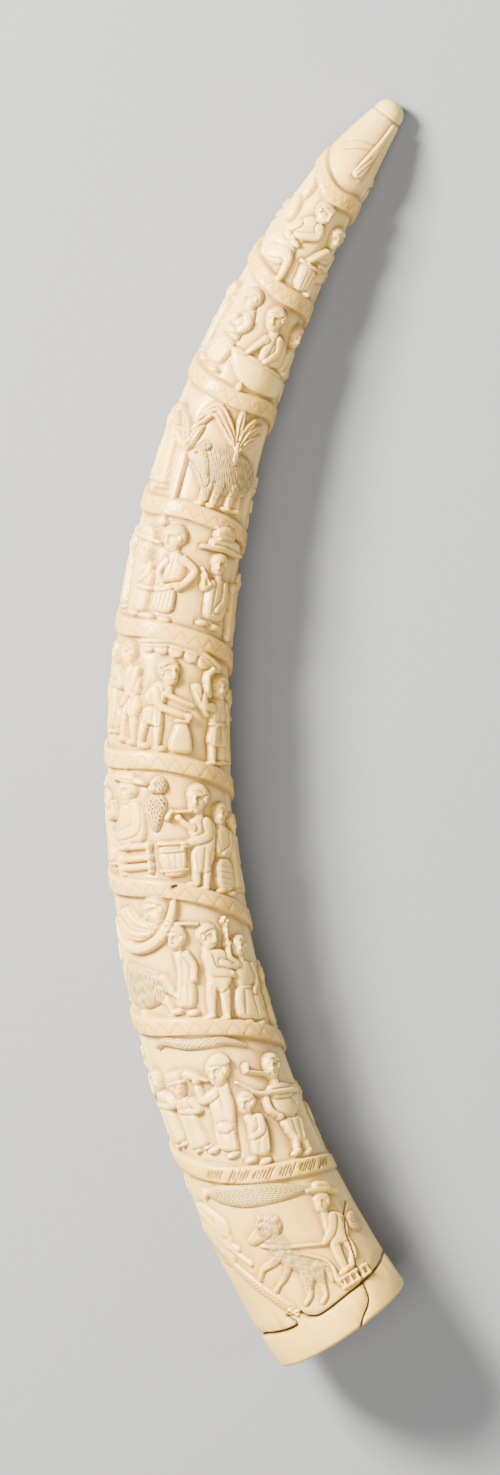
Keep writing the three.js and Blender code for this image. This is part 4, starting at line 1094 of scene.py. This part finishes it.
def blurred(field, reach):
    """A field averaged twice over so many rows and columns to each side, and round the tusk."""
    whole = 2 * reach + 1
    for _ in range(2):
        tall = np.cumsum(np.pad(field, ((reach + 1, reach), (0, 0)), mode="edge"), axis=0)
        field = (tall[whole:] - tall[:-whole]) / whole
        wide = np.cumsum(np.pad(field, ((0, 0), (reach + 1, reach)), mode="wrap"), axis=1)
        field = (wide[:, whole:] - wide[:, :-whole]) / whole
    return field


def tooling():
    """Faint waves left by the carver's tools."""
    x, y = sheet.around[None, :] * TOOLING_RADIUS, sheet.along[:, None]
    return TOOLING_DEEP * np.sin(x / 5.3 + 1.3 * np.sin(y / 17)) * np.sin(y / 7.1 + 1.7 * np.sin(x / 11))


def patina_and_shade(heights, on_band, painted_band_shadow):
    """How thick the patina and painted shade lie: in wide and fine hollows, as painted shadow at the band's
    foot, and on the ground.
    """
    recess = WIDE_PATINA_AND_SHADE * np.clip(blurred(heights, WIDE_REACH) - heights, 0, 1)
    fine = np.clip((blurred(heights, FINE_REACH) - heights) / FINE_DEPTH, 0, 1)
    recess += FINE_PATINA_AND_SHADE * fine + SHADOW_UNDER_BAND * painted_band_shadow
    recess += GROUND_TINT * (1 - ease(GROUND_BELOW, heights)) * (1 - on_band)
    return np.clip(recess, 0, 1)


def carved_sheet():
    """The whole carving: heights on the ground, and the maps that the material needs."""
    back_rows()
    for row in (row_of_sled, row_of_drinker, row_of_hammock, row_of_barrel, row_of_canopy, row_of_hats,
                row_of_palms, row_of_canoe, row_of_drum, tip):
        row()
    heights, on_band, painted_band_shadow, across, zigzag = band(sheet.real_heights())
    sheet.high = np.zeros_like(heights)
    engraved_band()
    cracks()
    knob_line = -KNOB_LINE_DEEP * np.exp(-((sheet.along - KNOB_LINE) / KNOB_LINE_HALF) ** 2)[:, None]
    heights = heights + sheet.high + knob_line + tooling() * (1 - on_band)
    worn = ease(WORN_FROM, np.abs(sheet.around))[None, :]
    heights = heights + worn * (blurred(heights, WORN_REACH) - heights)
    recess = patina_and_shade(heights, on_band, painted_band_shadow)
    heights = heights - PATINA_AND_SHADE_DEEP * recess
    maps = {"recess": recess, "dark": sheet.dark, "band": on_band, "strokes": sheet.strokes,
            "lane": sheet.lane, "run": sheet.run, "across": across, "zigzag": zigzag,
            "tooth": np.broadcast_to(sheet.around / FULL_TURN * ZIGZAG_COUNT + 0.5, heights.shape)}
    return heights, maps


def grid_triangles(rows, columns):
    """Triangles of a grid of points that closes round its columns."""
    i, j = np.meshgrid(np.arange(rows - 1), np.arange(columns), indexing="ij")
    a = i * columns + j
    b = i * columns + (j + 1) % columns
    c, d = a + columns, b + columns
    return np.concatenate([np.stack([a, b, d], -1).reshape(-1, 3), np.stack([a, d, c], -1).reshape(-1, 3)])


def fan_triangles(ring, pole):
    return np.stack([ring, np.roll(ring, -1), np.full_like(ring, pole)], -1)


def outer_skin(heights):
    """Points from the hollow's mouth over the slanting base face and its round edge to the knob's end."""
    around, along = sheet.around[None, :], sheet.along[:, None]
    lean = -BASE_SLANT * np.cos(around)
    edge = lean * (BASE_RADIUS - BASE_CUT - RIM_ROUND)
    inset = np.clip(along - edge, 0, RIM_ROUND)
    radius = bare_radius(along) + heights - RIM_ROUND + np.sqrt(inset * (2 * RIM_ROUND - inset))
    mouth = hollow_radius(lean * HOLLOW_RADIUS)
    on_face = np.clip((edge - along) / (edge + BASE_SPARE), 0, 1)
    radius = radius + on_face * (mouth - radius)
    return shell(around, np.where(on_face > 0, lean * radius, along), radius)


def hollow_skin():
    """Points from the hollow's depth to just inside its mouth."""
    mouth = -BASE_SLANT * HOLLOW_RADIUS * np.cos(sheet.around[None, :])
    share = np.linspace(1, 0, HOLLOW_ROWS, endpoint=False)[:, None]
    along = mouth + share * (HOLLOW_DEPTH - mouth)
    return shell(sheet.around[None, :], along, hollow_radius(along))


def fine_mesh(heights):
    """The closed skin at full fineness, from the hollow's depth round the base to the tip."""
    skin = np.concatenate([hollow_skin(), outer_skin(heights)])
    poles = shell(np.zeros(2), np.array([HOLLOW_DEPTH, LENGTH]), np.zeros(2))
    points = np.concatenate([skin.reshape(-1, 3), poles])
    rows, columns = skin.shape[:2]
    ring = np.arange(columns)
    triangles = np.concatenate([
        grid_triangles(rows, columns),
        fan_triangles(ring, len(points) - 2)[:, ::-1],
        fan_triangles((rows - 1) * columns + ring, len(points) - 1),
    ])
    mesh = bpy.data.meshes.new("tusk_fine")
    mesh.vertices.add(len(points))
    mesh.vertices.foreach_set("co", (points * MM).astype(np.float32).ravel())
    mesh.loops.add(triangles.size)
    mesh.loops.foreach_set("vertex_index", triangles.astype(np.int32).ravel())
    mesh.polygons.add(len(triangles))
    mesh.polygons.foreach_set("loop_start", np.arange(0, triangles.size, 3, dtype=np.int32))
    mesh.update(calc_edges=True)
    return mesh


def placed(name, data):
    """A new object in the scene."""
    made = bpy.data.objects.new(name, data)
    bpy.context.scene.collection.objects.link(made)
    return made


def thinned(fine):
    """The fine mesh with its triangles spent where the carving turns."""
    rough = placed("tusk_rough", fine)
    decimate = rough.modifiers.new("fewer", "DECIMATE")
    decimate.ratio = TRIANGLES / len(fine.polygons)
    shown = rough.evaluated_get(bpy.context.evaluated_depsgraph_get())
    mesh = bpy.data.meshes.new_from_object(shown)
    bpy.data.objects.remove(rough)
    bpy.data.meshes.remove(fine)
    return mesh


def sampled(field, around, along):
    """A map of the sheet read between its points."""
    last = len(sheet.along) - 1.001
    row = np.clip(np.interp(along, sheet.along, np.arange(len(sheet.along))), 0, last)
    column = (around + math.pi) / FULL_TURN * COLUMNS
    i, j = np.floor(row).astype(int), np.floor(column).astype(int)
    u, v = row - i, column - j
    left, right = j % COLUMNS, (j + 1) % COLUMNS
    low = field[i, left] * (1 - v) + field[i, right] * v
    high = field[i + 1, left] * (1 - v) + field[i + 1, right] * v
    return low * (1 - u) + high * u


def add_maps(mesh, maps):
    """Gives every vertex its share of patina and painted shade, dark cuts and band, and its place on the
    tusk.
    """
    points = np.zeros(len(mesh.vertices) * 3)
    mesh.vertices.foreach_get("co", points)
    around, along, radius = unroll(points.reshape(-1, 3) / MM)
    clear_of_hollow = (radius > HOLLOW_RADIUS + HOLLOW_CLEAR) | (along > HOLLOW_DEPTH)
    outside = clear_of_hollow | (radius > SKIN_FROM * bare_radius(along))
    values = {name: sampled(field, around, along) * outside for name, field in maps.items()}
    values["along"] = along / LENGTH
    values["inside"] = 1.0 - outside
    for name, value in values.items():
        mesh.attributes.new(name, "FLOAT", "POINT").data.foreach_set("value", value.astype(np.float32))
    return around, along, radius, outside


def add_bake_map(mesh, around, along, radius, outside):
    """Unrolls the skin on a square: two stretches of the outside one above the other, and beside them
    the hollow and the base's end face."""
    corner = np.zeros(len(mesh.loops), np.int32)
    mesh.loops.foreach_get("vertex_index", corner)
    faces = corner.reshape(-1, 3)
    middle = np.angle(np.exp(1j * around[faces]).sum(axis=1))
    turned = middle[:, None] + np.angle(np.exp(1j * (around[faces] - middle[:, None])))
    place, reach = along[faces], radius[faces]
    out = outside[faces].mean(axis=1) > 0.5
    upper = out & (place.mean(axis=1) > BAKE_STRETCH)
    u = BAKE_GAP + place - np.where(upper, BAKE_STRETCH, 0)[:, None]
    v = turned * envelope(place) + np.where(upper, BAKE_UPPER_ROW, BAKE_LOWER_ROW)[:, None]
    u = np.where(out[:, None], u, BAKE_HOLLOW_COLUMN + place)
    v = np.where(out[:, None], v, BAKE_LOWER_ROW + turned * HOLLOW_RADIUS)
    slant = along + BASE_SLANT * np.cos(around) * radius
    on_base = out & (slant[faces].max(axis=1) < BASE_FACE_WITHIN) & (reach.min(axis=1) < BASE_FACE_RADIUS)
    u = np.where(on_base[:, None], BAKE_BASE[0] + reach * np.sin(turned), u)
    v = np.where(on_base[:, None], BAKE_BASE[1] + reach * np.cos(turned), v)
    layer = mesh.uv_layers.new(name="OFBake")
    layer.data.foreach_set("uv", (np.stack([u, v], -1) / BAKE_SIDE).astype(np.float32).ravel())


class Shading:
    """A material, with its nodes made and linked by what they do."""

    def __init__(self, name):
        self.material = bpy.data.materials.new(name)
        self.material.use_nodes = True
        self.nodes = self.material.node_tree.nodes
        self.links = self.material.node_tree.links

    def put(self, value, place):
        """Sets an input to a number or colour, or links it to an output."""
        if isinstance(value, bpy.types.NodeSocket):
            self.links.new(value, place)
        else:
            place.default_value = (*value, 1) if place.type == "RGBA" else value

    def surface(self, looks):
        for name, value in looks.items():
            self.put(value, self.nodes["Principled BSDF"].inputs[name])

    def node(self, kind, inputs, **settings):
        made = self.nodes.new("ShaderNode" + kind)
        for name, value in settings.items():
            setattr(made, name, value)
        for place, value in inputs.items():
            self.put(value, made.inputs[place])
        return made

    def attribute(self, name):
        return self.node("Attribute", {}, attribute_name=name).outputs["Fac"]

    def noise(self, scale, detail, stretch=(1, 1, 1)):
        place = self.node("TexCoord", {}).outputs["Object"]
        mapped = self.node("Mapping", {"Vector": place, "Scale": stretch}).outputs["Vector"]
        return self.node("TexNoise", {"Vector": mapped, "Scale": scale, "Detail": detail}).outputs["Fac"]

    def ramp(self, value, *stops):
        """Colours or greys by a value, at stops in rising order."""
        node = self.node("ValToRGB", {"Fac": value})
        elements = node.color_ramp.elements
        elements.remove(elements[1])
        for i, (place, tone) in enumerate(stops):
            stop = elements.new(place) if i else elements[0]
            stop.position = place
            stop.color = (*tone, 1) if isinstance(tone, tuple) else (tone, tone, tone, 1)
        return node.outputs["Color"]

    def mix(self, share, first, second):
        """The second colour laid over the first."""
        node = self.node("Mix", {"Factor": share}, data_type="RGBA")
        colours = [place for place in node.inputs if place.type == "RGBA"]
        for place, value in zip(colours, (first, second)):
            self.put(value, place)
        return next(place for place in node.outputs if place.type == "RGBA")

    def maths(self, how, first, second=0.0, clamp=False):
        return self.node("Math", {0: first, 1: second}, operation=how, use_clamp=clamp).outputs[0]

    def times(self, share, other):
        return self.maths("MULTIPLY", share, other, clamp=True)


# Colours of the ivory and the floor, in linear light
CREAM = (0.9, 0.71, 0.32)
WARM_CREAM = (0.83, 0.58, 0.14)
PALE_HONEY = (0.86, 0.61, 0.18)
HONEY = (0.72, 0.42, 0.06)
STAIN = (0.66, 0.42, 0.13)
# Brown of the hollows and low ground: patina in part and painted shade in part, and the painted shadow under
# the band
PATINA_AND_SHADE = (0.27, 0.155, 0.045)
STROKE_BROWN = (0.07, 0.048, 0.026)
STROKE_WASH = (0.33, 0.26, 0.13)
ZIGZAG_BROWN = (0.3, 0.17, 0.05)
# Near black laid into the cracks and cut lines
CUT_LINE_BLACK = (0.012, 0.009, 0.006)
HOLLOW_BROWN = (0.5, 0.34, 0.17)
FLOOR_GREY = (0.205, 0.238, 0.33)

# How much warmer the ivory is along its length, from base to tip
AGE = ((0.0, 1.0), (0.1, 0.9), (0.16, 0.2), (0.32, 0.4), (0.5, 0.95), (0.63, 0.4), (1.0, 0.2))

# Drawn lines from full to gone, in shares of a lane and of the band's half width, and how strokes taper
STROKE_EDGE = ((0.17, 1.0), (0.34, 0.0))
ZIGZAG_EDGE = ((0.07, 1.0), (0.17, 0.0))
STROKE_TAPER = 0.45

# How strongly the band's honey tone, the strokes' wash and the zigzag show, and the grain's relief
BAND_TONE = 0.9
WASH = 0.5
ZIGZAG_TONE = 0.5
GRAIN_STRENGTH = 0.3
GRAIN_DEEP = 0.0004
IVORY_BODY = {
    "Subsurface Weight": 0.05,
    "Subsurface Radius": (1.0, 0.65, 0.35),
    "Subsurface Scale": 0.002,
    "IOR": 1.54,
}


def stroke_lines(ivory):
    """Fine spindles along the lanes, each lane's runs starting at a place of its own."""
    lane = ivory.attribute("lane")
    scatter = ivory.node("TexWhiteNoise", {"W": ivory.maths("FLOOR", lane)}, noise_dimensions="1D")
    run = ivory.maths("ADD", ivory.attribute("run"), scatter.outputs["Value"])
    off_lane, off_run = (ivory.maths("ABSOLUTE", ivory.maths("SUBTRACT", ivory.maths("FRACT", value), 0.5))
                         for value in (lane, run))
    spindle = ivory.maths("ADD", off_lane, ivory.maths("MULTIPLY", off_run, STROKE_TAPER))
    return ivory.times(ivory.ramp(spindle, *STROKE_EDGE), ivory.attribute("strokes"))


def zigzag_lines(ivory):
    tooth = ivory.maths("PINGPONG", ivory.attribute("tooth"), 0.5)
    slope = ivory.maths("MULTIPLY", tooth, 2 * (ZIGZAG_TOP - ZIGZAG_LOW))
    away = ivory.maths("SUBTRACT", ivory.maths("ADD", ivory.attribute("across"), slope), ZIGZAG_TOP)
    line = ivory.ramp(ivory.maths("ABSOLUTE", away), *ZIGZAG_EDGE)
    return ivory.times(line, ivory.attribute("zigzag"))


def ivory_ground(ivory):
    """Cream that is warmer with age, honey on the band's face, and stains."""
    cream = ivory.ramp(ivory.noise(9, 5), (0.3, CREAM), (0.7, PALE_HONEY))
    aged = ivory.mix(ivory.ramp(ivory.attribute("along"), *AGE), cream, WARM_CREAM)
    face = ivory.ramp(ivory.noise(26, 6), (0.3, HONEY), (0.72, WARM_CREAM))
    banded = ivory.mix(ivory.times(ivory.attribute("band"), BAND_TONE), aged, face)
    return ivory.mix(ivory.ramp(ivory.noise(24, 9), (0.43, 0.0), (0.74, 0.6)), banded, STAIN)


def ivory_material():
    ivory = Shading("carved_ivory")
    lines, dark = stroke_lines(ivory), ivory.attribute("dark")
    patchy = ivory.ramp(ivory.noise(60, 4), (0.25, 0.45), (0.75, 1.0))
    colour = ivory_ground(ivory)
    for share, tone in (
        # Patina with painted shade in the hollows, and painted shadow under the band
        (ivory.times(ivory.attribute("recess"), patchy), PATINA_AND_SHADE),
        (ivory.times(ivory.attribute("strokes"), WASH), STROKE_WASH),
        (ivory.times(zigzag_lines(ivory), ZIGZAG_TONE), ZIGZAG_BROWN),
        (lines, STROKE_BROWN),
        (dark, CUT_LINE_BLACK),
        (ivory.attribute("inside"), HOLLOW_BROWN),
    ):
        colour = ivory.mix(share, colour, tone)
    polish = ivory.ramp(ivory.noise(45, 5), (0.2, 0.28), (0.8, 0.42))
    grain = ivory.maths("SUBTRACT", ivory.noise(320, 4, (1, 0.35, 1)), lines)
    bump = ivory.node("Bump", {"Strength": GRAIN_STRENGTH, "Distance": GRAIN_DEEP, "Height": grain})
    ivory.surface({
        **IVORY_BODY,
        "Base Color": colour,
        "Roughness": ivory.maths("MAXIMUM", polish, dark),
        "Normal": bump.outputs["Normal"],
    })
    return ivory.material


def tusk():
    heights, maps = carved_sheet()
    mesh = thinned(fine_mesh(heights))
    mesh.name = "tusk_carved"
    add_bake_map(mesh, *add_maps(mesh, maps))
    mesh.polygons.foreach_set("use_smooth", np.ones(len(mesh.polygons), bool))
    mesh.materials.clear()
    mesh.materials.append(ivory_material())
    return placed("tusk_carved", mesh)


# Half side of the floor in metres, and its roughness
FLOOR_HALF = 2.5
FLOOR_ROUGH = 0.85


def floor():
    mesh = bpy.data.meshes.new("floor")
    corners = [(x * FLOOR_HALF, y * FLOOR_HALF, 0) for x, y in ((-1, -1), (1, -1), (1, 1), (-1, 1))]
    mesh.from_pydata(corners, [], [(0, 1, 2, 3)])
    pale = Shading("pale_floor")
    pale.surface({"Base Color": FLOOR_GREY, "Roughness": FLOOR_ROUGH})
    mesh.materials.append(pale.material)
    return placed("floor", mesh)


# Camera straight above the lying tusk, in metres
CAMERA_PLACE = (-0.0022, -0.0034, 4.2)
CAMERA_LENS = 205.7

# Soft lights as place, side length and power: key at the upper left, fill at the right, top light
LIGHTS = (
    ("key", (-1.5, 1.0, 1.4), 0.7, 425.0),
    ("fill", (1.2, 0.1, 1.2), 1.0, 12.0),
    ("top", (-0.3, -0.6, 1.7), 1.0, 36.0),
)
LIGHT_COLOUR = (1.0, 0.87, 0.62)
WORLD_COLOUR = (1.0, 0.95, 0.86)
WORLD_STRENGTH = 0.12


def studio():
    camera = bpy.data.cameras.new("camera")
    camera.lens = CAMERA_LENS
    camera.sensor_fit = "AUTO"
    eye = placed("camera", camera)
    eye.location = CAMERA_PLACE
    bpy.context.scene.camera = eye
    for name, place, side, power in LIGHTS:
        light = bpy.data.lights.new(name, "AREA")
        light.size = side
        light.energy = power
        light.color = LIGHT_COLOUR
        lamp = placed(name, light)
        lamp.location = place
        lamp.rotation_euler = (-lamp.location).to_track_quat("-Z", "Y").to_euler()
    world = bpy.data.worlds.new("studio")
    world.use_nodes = True
    background = world.node_tree.nodes["Background"].inputs
    background["Color"].default_value = (*WORLD_COLOUR, 1)
    background["Strength"].default_value = WORLD_STRENGTH
    bpy.context.scene.world = world


studio()
floor()
carved = tusk()
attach(carved, "root")
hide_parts("tusk")
